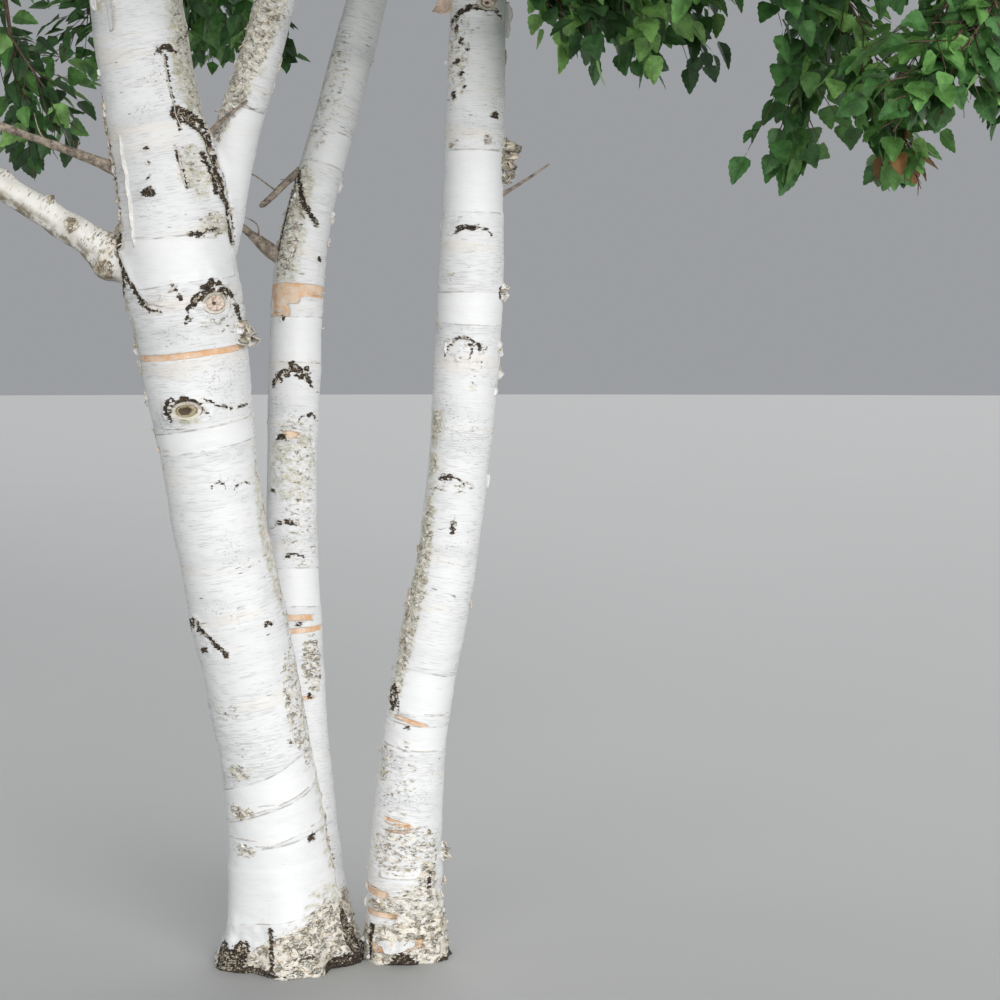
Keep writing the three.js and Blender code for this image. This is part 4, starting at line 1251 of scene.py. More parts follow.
# %% Peel a sheet off the bark
def sheet(surface, height, bearing, width, reach, toward, roll, draws, columns=9, rows=None):
    """Corners and quads of one thin closed sheet; the first half of the quads is the outer face."""
    rows = rows or max(4, min(20, int(width / 0.007)))
    share = np.linspace(0, 1, columns)
    turned = math.radians(roll) * share ** 1.5
    step = 1 / (columns - 1)
    run = np.concatenate([[0], np.cumsum(np.cos(turned[1:]) * step)])
    rise = np.concatenate([[0], np.cumsum(np.sin(turned[1:]) * step)])
    edge = np.linspace(-0.5, 0.5, rows)
    torn = reach * draws.uniform(0.5, 1.0, rows) * (1.15 - 2.4 * edge ** 2)
    edge = edge * width
    along = run[:, None] * torn
    out = rise[:, None] * torn
    edge = edge + np.zeros_like(along)
    way = math.radians(toward)
    u = along * math.cos(way) - edge * math.sin(way)
    v = along * math.sin(way) + edge * math.cos(way)
    start = math.radians(bearing)
    radius = stem_at(surface.name, height)[1]
    angle = start + u / radius
    lean = surface.slope_at(height)
    z = height + v - radius * ((np.cos(angle) - math.cos(start)) * lean[0]
                               + (np.sin(angle) - math.sin(start)) * lean[1])
    z = np.maximum(z, 0.004)
    off_bark = np.where(share > 0, SHEET_LIFT, -SHEET_TUCK)[:, None]
    spoke = compass(angle)
    away = surface.skin_at(z, angle) + off_bark + out
    points = stem_at(surface.name, z)[0] + spoke * away[..., None]
    normal = unit(np.cross(np.gradient(points, axis=0), np.gradient(points, axis=1)) + 1e-12)
    normal = normal * np.sign((normal[0] * spoke[0]).sum())
    corners = np.concatenate([(points + normal * SHEET_THICKNESS / 2).reshape(-1, 3),
                              (points - normal * SHEET_THICKNESS / 2).reshape(-1, 3)])
    corners[:, 2] = np.maximum(corners[:, 2], 0.0005)
    grid = np.arange(columns * rows).reshape(columns, rows)
    outer = np.stack([grid[:-1, :-1], grid[1:, :-1], grid[1:, 1:], grid[:-1, 1:]], -1).reshape(-1, 4)
    loop = np.concatenate([grid[:-1, 0], grid[-1, :-1], grid[:0:-1, -1], grid[0, :0:-1]])
    after = np.roll(loop, -1)
    far = columns * rows
    rim = np.stack([loop, loop + far, after + far, after], -1)
    return corners, [outer, outer[:, ::-1] + far, rim]


print("a sheet is", SHEET_THICKNESS, "m thick")


# %% Build the sheets and chips of every stem
OPEN_GAP = 0.035


def in_the_open(name, height, bearing):
    """Whether a place on a stem lies clear of the other stems."""
    middle, radius = stem_at(name, height)
    place = middle + radius * compass(math.radians(bearing))
    for other in set(STEMS) - {name}:
        middle, radius = stem_at(other, height)
        if height > stem_path(other)[0, 2] and np.linalg.norm(place - middle) - radius < OPEN_GAP:
            return False
    return True


PEELED, TAN, OLD = (0, 1, 1), (3, 3, 3), (2, 2, 2)  # finishes of the outer face, inner face and rim
TAN_FLAPS = {  # flaps that show tan on both faces, in the same order of values as the sheets
    "trunk_right": [(2478, -163, 56, 80, 200, 105)],
    "trunk_left": [(2490, -150, 50, 20, 180, 60), (2485, -12, 60, 16, 0, 60)],
}
CLUMPS = {  # shaggy places at a stem's edge: low, high, bearing, number of flaps, longest reach
    "trunk_left": [(1590, 1655, -17, 16, 60), (1840, 1900, -172, 14, 20)],
    "trunk_left_fork": [(2205, 2235, -100, 6, 30)],
    "trunk_right": [(2030, 2125, -8, 44, 68), (1730, 1760, -18, 8, 30), (262, 300, -8, 7, 40)],
}
for name, surface in surfaces.items():
    draws = np.random.default_rng(7 + len(name))
    sheets = [(PEELED, sheet(surface, *row, draws)) for row in metres(SHEETS[name], (0, 2, 3))]
    sheets += [(TAN, sheet(surface, *row, draws)) for row in metres(TAN_FLAPS.get(name, []), (0, 2, 3))]

    def flap(height, bearing, width, reach, toward, turn, old_share=0, **size):
        """One small sheet; its sizes are numbers, or low and high ends to draw between."""
        drawn = [draws.uniform(*v) if isinstance(v, tuple) else v for v in (width, reach, toward, turn)]
        kind = OLD if old_share and draws.random() < old_share else PEELED
        sheets.append((kind, sheet(surface, height, bearing, *drawn, draws, **size)))

    low, high = stem_path(name)[0, 2], min(SHEETS_UP_TO, stem_path(name)[-1, 2])
    for _ in range(int((high - low) * SHEETS_PER_METRE)):
        height, bearing = draws.uniform(low + 0.05, high), draws.uniform(-180, 180)
        toward = draws.choice([0, 180]) + draws.uniform(-20, 20)
        row = (height, bearing, draws.uniform(0.01, 0.045), draws.uniform(0.006, 0.016), toward,
               draws.uniform(50, 200))
        shown = height < VIEW_TOP and SEEN[0] < bearing < SEEN[1]
        if not shown and in_the_open(name, height, bearing):
            flap(*row, columns=7)
    for z_low, z_high, bearing, number, reach in metres(CLUMPS.get(name, []), (0, 1, 4)):
        for height in draws.uniform(z_low, z_high, number):
            flap(height, bearing + draws.uniform(-12, 8), (0.012, 0.034), (0.35 * reach, reach),
                 (-70, 70), (60, 210), old_share=0.4, columns=6, rows=5)
    for z_low, z_high, bearing, number in metres(TORN_EDGES[name], (0, 1)):
        for height in draws.uniform(z_low, z_high, number):
            flap(height, bearing + draws.uniform(-12, 12), (0.008, 0.03), (0.004, 0.016),
                 (-180, 180), (40, 200), columns=6, rows=5)
    for z_low, z_high, bearing, span, *_ in marks_for(name)["fresh"]:
        for _ in range(4):
            above = draws.random() < 0.5
            height = z_high + 0.003 if above else z_low - 0.003
            turned = bearing + draws.uniform(-0.9, 0.9) * min(span, 170)
            flap(height, turned, (0.02, 0.07), (0.003, 0.006), -90 if above else 90, (10, 60), columns=5)
    cover = np.maximum(surface.fields["rough"], surface.fields["dark"] - 0.001)
    spots = np.nonzero((cover > 0) & (surface.z < VIEW_TOP + 0.4) & (surface.z > 0.01))[0]
    for corner in draws.choice(spots, CHIPS[name]):
        flap(surface.z[corner], math.degrees(surface.angle[corner]), (0.006, 0.016), (0.004, 0.01),
             (-180, 180), (10, 110), old_share=0.5, columns=4, rows=4)
    slots = [np.full(len(rows), slot) for kind, (_, faces) in sheets for rows, slot in zip(faces, kind)]
    dress([name], "bark", "loose_bark_" + name, *joined([made for _, made in sheets]),
          [curl_outer, curl_inner, old_chip, curl_tan], slots=np.concatenate(slots))

# %% [markdown]
# ## Boughs
# A bough is swept along its curve like a tube, but its rings swell and wander a little, its bark carries
# knots, and its collar spreads over the stem.

# %% Build the boughs, ring by ring
BOUGH_SIDES = 22
BOUGH_RING_STEP = 0.012
COLLAR_FADE = 0.22
KNOBS = {  # stubs of lost twigs: distance out, bearing round the bough, height, width
    "left": [(395, -125, 20, 14), (320, -160, 10, 20), (520, -70, 9, 20), (200, 120, 12, 30)],
}


def bough_grid(bough, seed, tip_taper=1.0, knobs=()):
    """One bough's corners, faces and fields."""
    rings = int(bough["reach"] / BOUGH_RING_STEP) + 2
    share = np.linspace(0, 1, rings)
    path = bough_at(bough, share)
    spokes = spokes_along(unit(np.gradient(path, axis=0)), BOUGH_SIDES).reshape(-1, 3)
    angle = even_turns(BOUGH_SIDES)
    radius = bough_radius(bough, share)[:, None] * np.ones(BOUGH_SIDES)
    run = share[:, None] * bough["reach"] + np.zeros(BOUGH_SIDES)
    bark = np.stack([radius * np.cos(angle), radius * np.sin(angle), run + seed], -1).reshape(-1, 3)
    radius, run = radius.ravel(), run.ravel()
    lumps = 0.1 * smooth_noise(bark, (14, 14, 9), 12) + 0.1 * smooth_noise(bark, 40, 13)
    knots = np.maximum(smooth_noise(bark, (12, 12, 9), 14) - 0.4, 0) * 1.1
    radius = radius * (1 + lumps + knots)
    scars = np.full(len(radius), FAR)
    for at, bearing, out, width in knobs:
        around = (np.tile(angle, rings) - math.radians(bearing) + math.pi) % (2 * math.pi) - math.pi
        gap = np.hypot(run - at, around * bough["radius"])
        radius = radius + out * np.exp(-(gap / width) ** 4)
        scars = np.maximum(scars, 0.9 * width - gap)
    corners = np.repeat(path, BOUGH_SIDES, 0) + spokes * radius[:, None]
    corners[-BOUGH_SIDES:] = path[-1] + (corners[-BOUGH_SIDES:] - path[-1]) * tip_taper
    thin = np.clip(1.35 - radius / 0.034, 0, 1)
    collar = hill(run / COLLAR_FADE)
    under = -spokes[:, 2] * (1 - collar)
    rough = knots * 0.05 - 0.002 + 0.003 * under + 0.014 * smooth_noise(bark, (9, 9, 6), 15)
    smooth_collar = np.clip(-spokes[:, 2], 0, 1) * collar
    rough = np.minimum(np.maximum(rough - 0.03 * smooth_collar, scars), 0.006)
    fields = {"bark": bark, "thin": thin, "rough": rough, "under": under}
    return corners, tube_faces(rings, BOUGH_SIDES), fields


def dress_grids(replaced, slot, name, grids, material):
    """One piece of several boughs or sticks."""
    fields = {key: np.concatenate([grid[2][key] for grid in grids]) for key in grids[0][2]}
    dress(replaced, slot, name, *joined(grids), [material], fields=fields)


RING_NAMES = ["low", "lower", "middle", "upper", "high"]
for ring in RING_NAMES:
    carried = [mass for mass in masses if mass["ring"] == ring]
    grids = [bough_grid(mass["bough"], seed=i * 3.0, knobs=metres(KNOBS.get(mass["name"], ()), (0, 2, 3)))
             for i, mass in enumerate(carried)]
    dress_grids(ring_nodes(ring, "bough_"), "bough_bark", "boughs_" + ring, grids, bough_bark)

# %% Build the dead branches with the stubs of their twigs
DEAD_TWIG_STEP = 0.07
DEAD_TWIG_LENGTH = (0.03, 0.15)
DEAD_TWIG_RADIUS = 0.0017
DEAD_TWIG_TIP = 0.001
DEAD_TWIG_MARGIN = 0.02  # how far inside the measured box each one ends


def dead_twigs(limb, seed):
    """Short bare twigs on a dead branch."""
    draws = np.random.default_rng(seed + 3)
    made = []
    for share in np.arange(0.35, 0.97, DEAD_TWIG_STEP / limb["reach"]):
        base = bough_at(limb, share)
        along = unit(bough_at(limb, share + 0.02) - base)
        direction = unit(along * 0.7 + draws.normal(0, 0.6, 3))
        size = draws.uniform(*DEAD_TWIG_LENGTH)
        tip = np.clip(base + direction * size, BOX_LOW + DEAD_TWIG_MARGIN, BOX_HIGH - DEAD_TWIG_MARGIN)
        middle = (base + tip) / 2 + draws.normal(0, 0.16, 3) * size
        twig = dict(handles=np.array([base, middle, middle, tip]), reach=size, radius=DEAD_TWIG_RADIUS,
                    tip=DEAD_TWIG_TIP, stem_radius=0)
        made.append(bough_grid(twig, seed=seed * 7.0 + share))
    return made


FORK_STICK = [(-0.165, -0.205, 2.125), (-0.13, -0.225, 2.16), (-0.105, -0.232, 2.175),
              (-0.066, -0.228, 2.206)]
EDGE_STICK = [(0, 0, 1.985), (0.034, -0.004, 2.002), (0.083, -0.006, 2.033), (0.135, -0.01, 2.069)]
dead = []
for i, (_, stem, height, end, foot_radius, tip, lift) in enumerate(DEAD_BRANCHES):
    direction = unit(end - stem_at(stem, height)[0])
    limb = dict(bough_of(stem, height, np.array(end), direction, foot_radius, lift), tip=tip)
    dead.append(bough_grid(limb, seed=50 + i * 2.0, tip_taper=0.55))
    dead += dead_twigs(limb, i)
fork_stick = dict(handles=np.array(FORK_STICK), reach=0.14, radius=0.0045, tip=0.0035, stem_radius=0)
dead.append(bough_grid(fork_stick, seed=60.0))
middle, radius = stem_at("trunk_right", 1.99)
foot = middle * LEVEL + EAST * (radius - 0.02)
edge_stick = dict(fork_stick, handles=foot + np.array(EDGE_STICK), reach=0.15, radius=0.0042, tip=0.0026)
dead.append(bough_grid(edge_stick, seed=63.0))
dress_grids([row[0] for row in DEAD_BRANCHES], "dead_wood", "dead_branches", dead, dead_wood)

# %% [markdown]
# ## The crown's seeded rule
# In each mass, twigs stand round one stem by the golden angle, and sprays of leaves stand along each
# twig. The rule, its sizes and its order of draws are those of the plain solids, so each spray grows
# exactly where a plain leaf plate lies. What would leave the mass's space or touch a limb is skipped.

# %% Name the rule's sizes
STEM_TIP_RADIUS = 0.012
STEM_LEAF_AT = 0.97
TWIGS = 6
TWIG_FIRST = 0.14
TWIG_LAST = 0.92
TWIG_SPREAD = 1.05
TWIG_TURN_SWAY = 0.5
TWIG_DROOP = 0.22
TWIG_REACH = 0.6
TWIG_SHARE = 0.62
TWIG_SIZES = (1, 0.8, 0.6, 0.42)
TWIG_TEST_POINTS = (0.35, 0.6, 0.8, 1)
GOLDEN_ANGLE = 2.39996
LEAF_LENGTH = 0.64
LEAF_SIZES = (1, 0.84, 0.7, 0.62)
LEAF_WIDTH = 0.8
LEAF_WIDEST = 0.42
LEAF_STATIONS = (0.3, 0.64)
LEAF_SINK = 0.4
END_LEAF_LAP = 0.075
END_LEAF_SEAT = 0.003
LEAF_ROLL = 2.6
LIMB_CLEARANCE = 0.078
STEM_TEST_STEP = 0.09
BOUGH_TEST_STEP = 0.06
SPACE_CLEARANCE = 0.008
SPACE_EDGE = 1.07
LOWEST_FOLIAGE = 1.95
print(TWIGS, "twigs at most in a mass")


# %% Write the rule again
def seeded(seed):
    """Numbers from 0 to 1 by the same simple rule as the plain solids use."""
    state = seed
    while True:
        state = (state * 1664525 + 1013904223) % 2 ** 32
        yield state / 2 ** 32


def turned_about(along, angle):
    """The direction square to another one, at an angle round it."""
    side = unit(np.cross(along, EAST if abs(along[2]) > 0.9 else UP))
    return side * math.cos(angle) + unit(np.cross(along, side)) * math.sin(angle)


def spine_at(mass, t):
    """Where a mass's own stem, its spine, runs at a share t of its length."""
    drop = mass["droop"] * mass["length"] * t * t
    return mass["foot"] + mass["direction"] * mass["length"] * t - UP * drop


def spine_way(mass, t):
    return unit(mass["direction"] - UP * 2 * mass["droop"] * t)


def spine_radius(mass, t):
    return mass["stem_radius"] + (STEM_TIP_RADIUS - mass["stem_radius"]) * t


def in_box(points, margin):
    """Which points lie inside the measured box by a margin."""
    return ((points > BOX_LOW + margin) & (points < BOX_HIGH - margin)).all(-1)


def depth_in(mass, points):
    """1 at the edge of a mass's space and 0 in its middle."""
    squashed = (points - mass["centre"]) / (mass["radius"] * np.array([1, 1, mass["flat"]]))
    return np.linalg.norm(squashed, axis=-1)


limb_points, limb_radii = [], []
for name in STEMS:
    z = np.arange(stem_path(name)[0, 2], stem_path(name)[-1, 2], STEM_TEST_STEP)
    points, radius = stem_at(name, z)
    limb_points.append(points)
    limb_radii.append(radius)
for bough in boughs:
    count = math.ceil(bough["reach"] / BOUGH_TEST_STEP)
    share = np.arange(count) / count
    limb_points.append(bough_at(bough, share))
    limb_radii.append(bough_radius(bough, share))
limb_points, limb_radii = np.vstack(limb_points), np.concatenate(limb_radii)
centres = np.array([mass["centre"] for mass in masses])
radii = np.array([mass["radius"] for mass in masses])


def allowed(index, points):
    """Whether all points lie in a mass's own space and clear of every limb."""
    mass = masses[index]
    if (depth_in(mass, points) > SPACE_EDGE).any() or (points[:, 2] < LOWEST_FOLIAGE).any():
        return False
    power = ((points[:, None] - centres) ** 2).sum(2) - radii ** 2
    apart = np.linalg.norm(centres - mass["centre"], axis=1)
    short = power - power[:, index:index + 1] <= 2 * apart * SPACE_CLEARANCE
    short[:, index] = False
    if short.any():
        return False
    gaps = np.linalg.norm(points[:, None] - limb_points, axis=2) - limb_radii
    return bool((gaps > LIMB_CLEARANCE).all())


def distance_to_edge(mass, start, direction):
    squash = np.array([1, 1, 1 / mass["flat"]])
    p, d = (start - mass["centre"]) * squash, direction * squash
    a, b = d @ d, p @ d
    return (-b + math.sqrt(max(0, b * b - a * (p @ p - mass["radius"] ** 2)))) / a


def leaf_points(leaf):
    root, direction, across, length = leaf["root"], leaf["direction"], leaf["across"], leaf["length"]
    middle = root + direction * length * LEAF_WIDEST
    tip = root + direction * length
    half = across * length * LEAF_WIDTH * 0.5
    left, right = middle - half, middle + half
    near = root + direction * END_LEAF_LAP
    pairs = [(middle, tip), (left, tip), (right, tip), (left, middle), (right, middle), (left, near),
             (right, near)]
    return np.array([near, middle, tip, left, right] + [(a + b) / 2 for a, b in pairs])


def grow_leaf(index, at, heading, twig_radius, draws, found, share=1.0):
    mass = masses[index]
    is_end = twig_radius == 0
    droop = 0 if is_end else 0.3 + 0.6 * next(draws)
    direction = unit(heading - UP * droop)
    across = turned_about(direction, (next(draws) - 0.5) * LEAF_ROLL)
    face = np.cross(direction, across)
    root = at - direction * (END_LEAF_LAP if is_end else LEAF_SINK * twig_radius)
    root = root - face * (END_LEAF_SEAT if is_end else 0)
    length = mass["radius"] * LEAF_LENGTH * (0.82 + 0.36 * next(draws)) * share
    for size in LEAF_SIZES:
        leaf = dict(root=root, direction=direction, across=across, face=face, length=length * size,
                    mass=index)
        if allowed(index, leaf_points(leaf)):
            found.append(leaf)
            return


def grow_mass(index):
    """The twigs and leaf plates of one mass."""
    mass = masses[index]
    draws = seeded(mass["seed"])
    twigs, leaves = [], []
    turn = next(draws) * 2 * math.pi
    for k in range(TWIGS):
        t = TWIG_FIRST + (TWIG_LAST - TWIG_FIRST) * k / (TWIGS - 1)
        start, along = spine_at(mass, t), spine_way(mass, t)
        round_stem = turned_about(along, turn + k * GOLDEN_ANGLE + TWIG_TURN_SWAY * (next(draws) - 0.5))
        direction = along * math.cos(TWIG_SPREAD) + round_stem * math.sin(TWIG_SPREAD)
        direction = unit(direction - UP * TWIG_DROOP)
        reach = distance_to_edge(mass, start, direction) * TWIG_REACH
        radius = TWIG_SHARE * spine_radius(mass, t)
        fits = [size for size in TWIG_SIZES
                if allowed(index, start + direction * reach * size * np.array(TWIG_TEST_POINTS)[:, None])]
        sideways = unit(np.cross(direction, UP))
        headings = []
        for n in range(len(LEAF_STATIONS)):
            turned = 0.75 + 0.5 * next(draws)
            headings.append(unit(direction + sideways * (turned if (k + n) % 2 else -turned)))
        if not fits:
            continue
        length = reach * fits[0]
        twigs.append(dict(start=start, direction=direction, radius=radius, length=length))
        for share, heading in zip(LEAF_STATIONS, headings):
            at = start + direction * length * share
            grow_leaf(index, at, heading, radius * (1 - share), draws, leaves)
        grow_leaf(index, start + direction * length, direction, 0, draws, leaves)
    grow_leaf(index, spine_at(mass, STEM_LEAF_AT), spine_way(mass, 1), STEM_TIP_RADIUS, draws,
              leaves)
    return twigs, leaves


FINER_STATIONS = (0.16, 0.47, 0.82)
FINER_STEM_STATIONS = (0.06, 0.17, 0.28, 0.42, 0.56, 0.7, 0.84, 0.99)
FINER_SHARE = 0.82


def grow_finer(index, twigs):
    """Further, smaller sprays between the first ones, so that no long stretch of twig is bare."""
    mass = masses[index]
    draws = seeded(mass["seed"] + 1)
    found = []
    for k, twig in enumerate(twigs):
        sideways = unit(np.cross(twig["direction"], UP))
        for n, share in enumerate(FINER_STATIONS):
            turned = (0.6 + 0.6 * next(draws)) * (-1 if (k + n) % 2 else 1)
            heading = unit(twig["direction"] + sideways * turned + UP * (0.8 * next(draws) - 0.2))
            at = twig["start"] + twig["direction"] * twig["length"] * share
            grow_leaf(index, at, heading, twig["radius"] * (1 - share), draws, found, FINER_SHARE)
    for k, t in enumerate(FINER_STEM_STATIONS):
        along = spine_way(mass, t)
        heading = unit(along + turned_about(along, 1.2 + k * GOLDEN_ANGLE) * 1.1)
        at = spine_at(mass, t)
        grow_leaf(index, at, heading, spine_radius(mass, t), draws, found, FINER_SHARE)
    return found


def grow_shoots(roots, outs, lift, length, clear, seed, index=None):
    """Short leafy shoots on bare stretches of limb; one that would crowd a mass or a limb is skipped."""
    draws = seeded(seed)
    found = []
    for root, out in zip(roots, outs):
        direction = unit(out + UP * (lift + 0.5 * next(draws)))
        across = turned_about(direction, (next(draws) - 0.5) * LEAF_ROLL)
        reach = length * (0.75 + 0.5 * next(draws))
        far = root + direction * reach * np.array([0.45, 0.7, 1.0])[:, None]
        gaps = np.linalg.norm(far[:, None] - limb_points, axis=2) - limb_radii
        depths = [depth_in(mass, far[-1]) for mass in masses]
        if gaps.min() > SHOOT_CLEARANCE and min(depths) > clear:
            home = int(np.argmin(depths)) if index is None else index
            found.append(dict(root=root, direction=direction, across=across, length=reach, mass=home,
                              face=np.cross(direction, across), free=index is None))
    return found


def shoots_on_stem(stem, seed):
    heights = np.arange(STEM_SHOOTS_FROM, stem_path(stem)[-1, 2] - 0.5, STEM_SHOOT_STEP)
    turns = np.arange(len(heights)) * GOLDEN_ANGLE + seed
    outs = compass(turns)
    middles, radius = stem_at(stem, heights)
    roots = middles + outs * radius[:, None] * 0.7
    return grow_shoots(roots, outs, 0.25, SHOOT_LENGTH, 0.8, seed)


def shoots_on_bough(mass, shares, lift, length, clear, seed, index=None):
    roots = bough_at(mass["bough"], shares)
    along = unit(np.gradient(roots, axis=0))
    aside = np.stack([-along[:, 1], along[:, 0], 0 * shares], 1)
    aside *= np.where(np.arange(len(shares)) % 2, 1, -1)[:, None]
    return grow_shoots(roots, along * 0.6 + aside * 0.8, lift, length, clear, seed, index)


SPARSE = "low_left"
HANGING = "low_right"
SHOOT_CLEARANCE = 0.05
SHOOT_LENGTH = 0.42
STEM_SHOOTS_FROM = 3.2
STEM_SHOOT_STEP = 0.16
BOUGH_SHOOTS = np.linspace(0.3, 0.97, 8)
BOX_MARGIN = 0.03
plates, twig_rows, finer = [], [], []
for index in range(len(masses)):
    twigs, leaves = grow_mass(index)
    plates += leaves
    if masses[index]["name"] != SPARSE:
        finer += grow_finer(index, twigs)
    twig_rows += [dict(twig, mass=index) for twig in twigs]
shoots = []
for i, stem in enumerate(STEMS):
    shoots += shoots_on_stem(stem, SEED_STEP + i)
for i, mass in enumerate(masses):
    if "bough" in mass and mass["ring"] != "low":
        shoots += shoots_on_bough(mass, BOUGH_SHOOTS, 0.0, SHOOT_LENGTH, 0.75, mass["seed"] + 5)
    if mass["name"] == HANGING:
        hanging = shoots_on_bough(mass, BOUGH_SHOOTS, -1.1, SHOOT_LENGTH, 0.0, mass["seed"] + 5, i)
print(len(plates), "sprays,", len(finer), "finer ones on", len(twig_rows), "twigs,", len(shoots),
      "on bare stretches")
tips = np.array([leaf["root"] + leaf["direction"] * leaf["length"] for leaf in finer + shoots])
plates += [leaf for leaf, stays in zip(finer + shoots, in_box(tips, BOX_MARGIN)) if stays]
plates += hanging

# %% [markdown]
# ## Sprays of twigs and leaves
# Each plate of the plain solids becomes a spray: a thin shoot that droops, side twigs left and right
# that fill the plate's outline and stand a little out of it, and leaves along them all on alternate
# sides, hanging from short stalks. All sprays are worked out at once as arrays.

# %% Grow the shoots and side twigs
SIDE_TWIGS = 15
SHORTEST_SIDE_TWIG = 0.07
LEAF_SPACING = 0.03
SPRAY_SWAY = 0.03  # this and the drops are shares of the shoot's or twig's length
SPRAY_DROP = 0.1
SIDE_TWIG_DROP = 0.06
draws = np.random.default_rng(4984)
root, heading, across, face, length, owner = (
    np.array([leaf[key] for leaf in plates])
    for key in ("root", "direction", "across", "face", "length", "mass")
)
free = np.array([leaf.get("free", False) for leaf in plates])
sprays = len(plates)


def shoot_at(t):
    """Points on every spray's shoot at shares t, one row of shares a spray."""
    run = heading[:, None] * (length[:, None] * t)[..., None]
    sway = face[:, None] * (SPRAY_SWAY * length[:, None] * np.sin(t * 5 + owner[:, None]))[..., None]
    drop = UP * (SPRAY_DROP * length[:, None] * t * t)[..., None]
    return root[:, None] + run + sway - drop


def half_width(t):
    """Half the width of the plate's outline at shares t of its length."""
    share = np.where(t < LEAF_WIDEST, t / LEAF_WIDEST, (1 - t) / (1 - LEAF_WIDEST))
    return share * LEAF_WIDTH * 0.5


station = np.linspace(0.09, 0.96, SIDE_TWIGS) + draws.uniform(-0.02, 0.02, (sprays, SIDE_TWIGS))
hand = np.where(np.arange(SIDE_TWIGS) % 2, 1.0, -1.0)
spread = 0.95 - 0.35 * station + draws.uniform(-0.12, 0.12, station.shape)
lift = draws.uniform(-0.6, 0.6, station.shape)
sideways = across[:, None] * (hand * np.cos(lift))[..., None] + face[:, None] * np.sin(lift)[..., None]
side_direction = heading[:, None] * np.cos(spread)[..., None] + sideways * np.sin(spread)[..., None]
side_direction = unit(side_direction - UP * draws.uniform(0.05, 0.3, station.shape)[..., None])
side_length = half_width(station) * length[:, None] / np.sin(spread)
side_length = np.maximum(side_length * draws.uniform(0.8, 1.1, station.shape), SHORTEST_SIDE_TWIG)
side_start = shoot_at(station)
limit = np.where(side_direction > 0, BOX_HIGH - BOX_MARGIN, BOX_LOW + BOX_MARGIN)
room = ((limit - side_start) / side_direction).min(-1)
side_length = np.clip(room, 0.02, side_length)
side_tip = side_start + side_direction * side_length[..., None]
squash = np.array([[1, 1, mass["flat"]] for mass in masses])[owner][:, None]
reached = (side_tip - centres[owner][:, None]) / (radii[owner][:, None, None] * squash)
bare = (np.linalg.norm(reached, axis=-1) > 1.1) | (side_tip[..., 2] < LOWEST_FOLIAGE)
side_length = np.where(bare & ~free[:, None], 0.03, side_length)


def side_at(s):
    """Points on every side twig at shares s, the last axis of s being along the twig."""
    run = side_direction[:, :, None] * (side_length[..., None] * s)[..., None]
    drop = UP * (SIDE_TWIG_DROP * side_length[..., None] * s * s)[..., None]
    return side_start[:, :, None] + run - drop


print("side twigs", side_length.size, "of", round(float(side_length.mean()), 3), "m on average")

# %% Place the leaves
MOST_ON_A_TWIG = int(side_length.max() / LEAF_SPACING) + 1
number = np.maximum((side_length / LEAF_SPACING).astype(int), 2)
order = np.arange(MOST_ON_A_TWIG)
share = (order + 1.0) / number[..., None]
on_twig = order < number[..., None]
place = side_at(np.minimum(share, 1.0))
beside = unit(np.cross(side_direction, UP) + 1e-6)[:, :, None]
turn = np.where(order % 2, 1.0, -1.0)[:, None] * draws.uniform(0.4, 1.0, share.shape)[..., None]
last = (order == number[..., None] - 1)[..., None]
turn = np.where(last, 0.15 * turn, turn)
hang = draws.uniform(-0.3, 0.6, share.shape)[..., None]
blade = unit(side_direction[:, :, None] + beside * turn - UP * hang + draws.normal(0, 0.18, place.shape))
leaf_place, leaf_blade = place[on_twig], blade[on_twig]
leaf_spray = np.broadcast_to(np.arange(sprays)[:, None, None], share.shape)[on_twig]

SHOOT_LEAVES = 12
shoot_share = np.linspace(0.12, 1.0, SHOOT_LEAVES) + np.zeros((sprays, 1))
shoot_turn = np.where(np.arange(SHOOT_LEAVES) % 2, 0.9, -0.9)[:, None]
shoot_turn = shoot_turn * (np.arange(SHOOT_LEAVES) < SHOOT_LEAVES - 1)[:, None]
shoot_blade = heading[:, None] + across[:, None] * shoot_turn - UP * 0.3
shoot_blade = unit(shoot_blade + draws.normal(0, 0.2, shoot_blade.shape))
leaf_place = np.vstack([leaf_place, shoot_at(shoot_share).reshape(-1, 3)])
leaf_blade = np.vstack([leaf_blade, shoot_blade.reshape(-1, 3)])
leaf_spray = np.concatenate([leaf_spray, np.repeat(np.arange(sprays), SHOOT_LEAVES)])
print(len(leaf_place), "leaves on the sprays")

# %% Deal out the colours and add the leaves of short spurs
COLOUR_SHARES = (0.24, 0.34, 0.24, 0.14, 0.025, 0.015)
spray_colour = draws.choice(len(COLOUR_SHARES), sprays, p=COLOUR_SHARES)
stray = draws.random(len(leaf_spray)) < 0.25
leaf_colour = np.where(stray, draws.choice(4, len(leaf_spray)), spray_colour[leaf_spray])
leaf_mass = owner[leaf_spray]
leaf_free = free[leaf_spray]


def spur_leaves(points, along, leaves_each):
    """Leaves in twos and threes on short spurs along a limb."""
    count = len(points) * leaves_each
    blades = np.repeat(along, leaves_each, 0) * 0.5 + draws.normal(0, 0.6, (count, 3)) + UP * 0.1
    return np.repeat(points, leaves_each, 0), unit(blades)


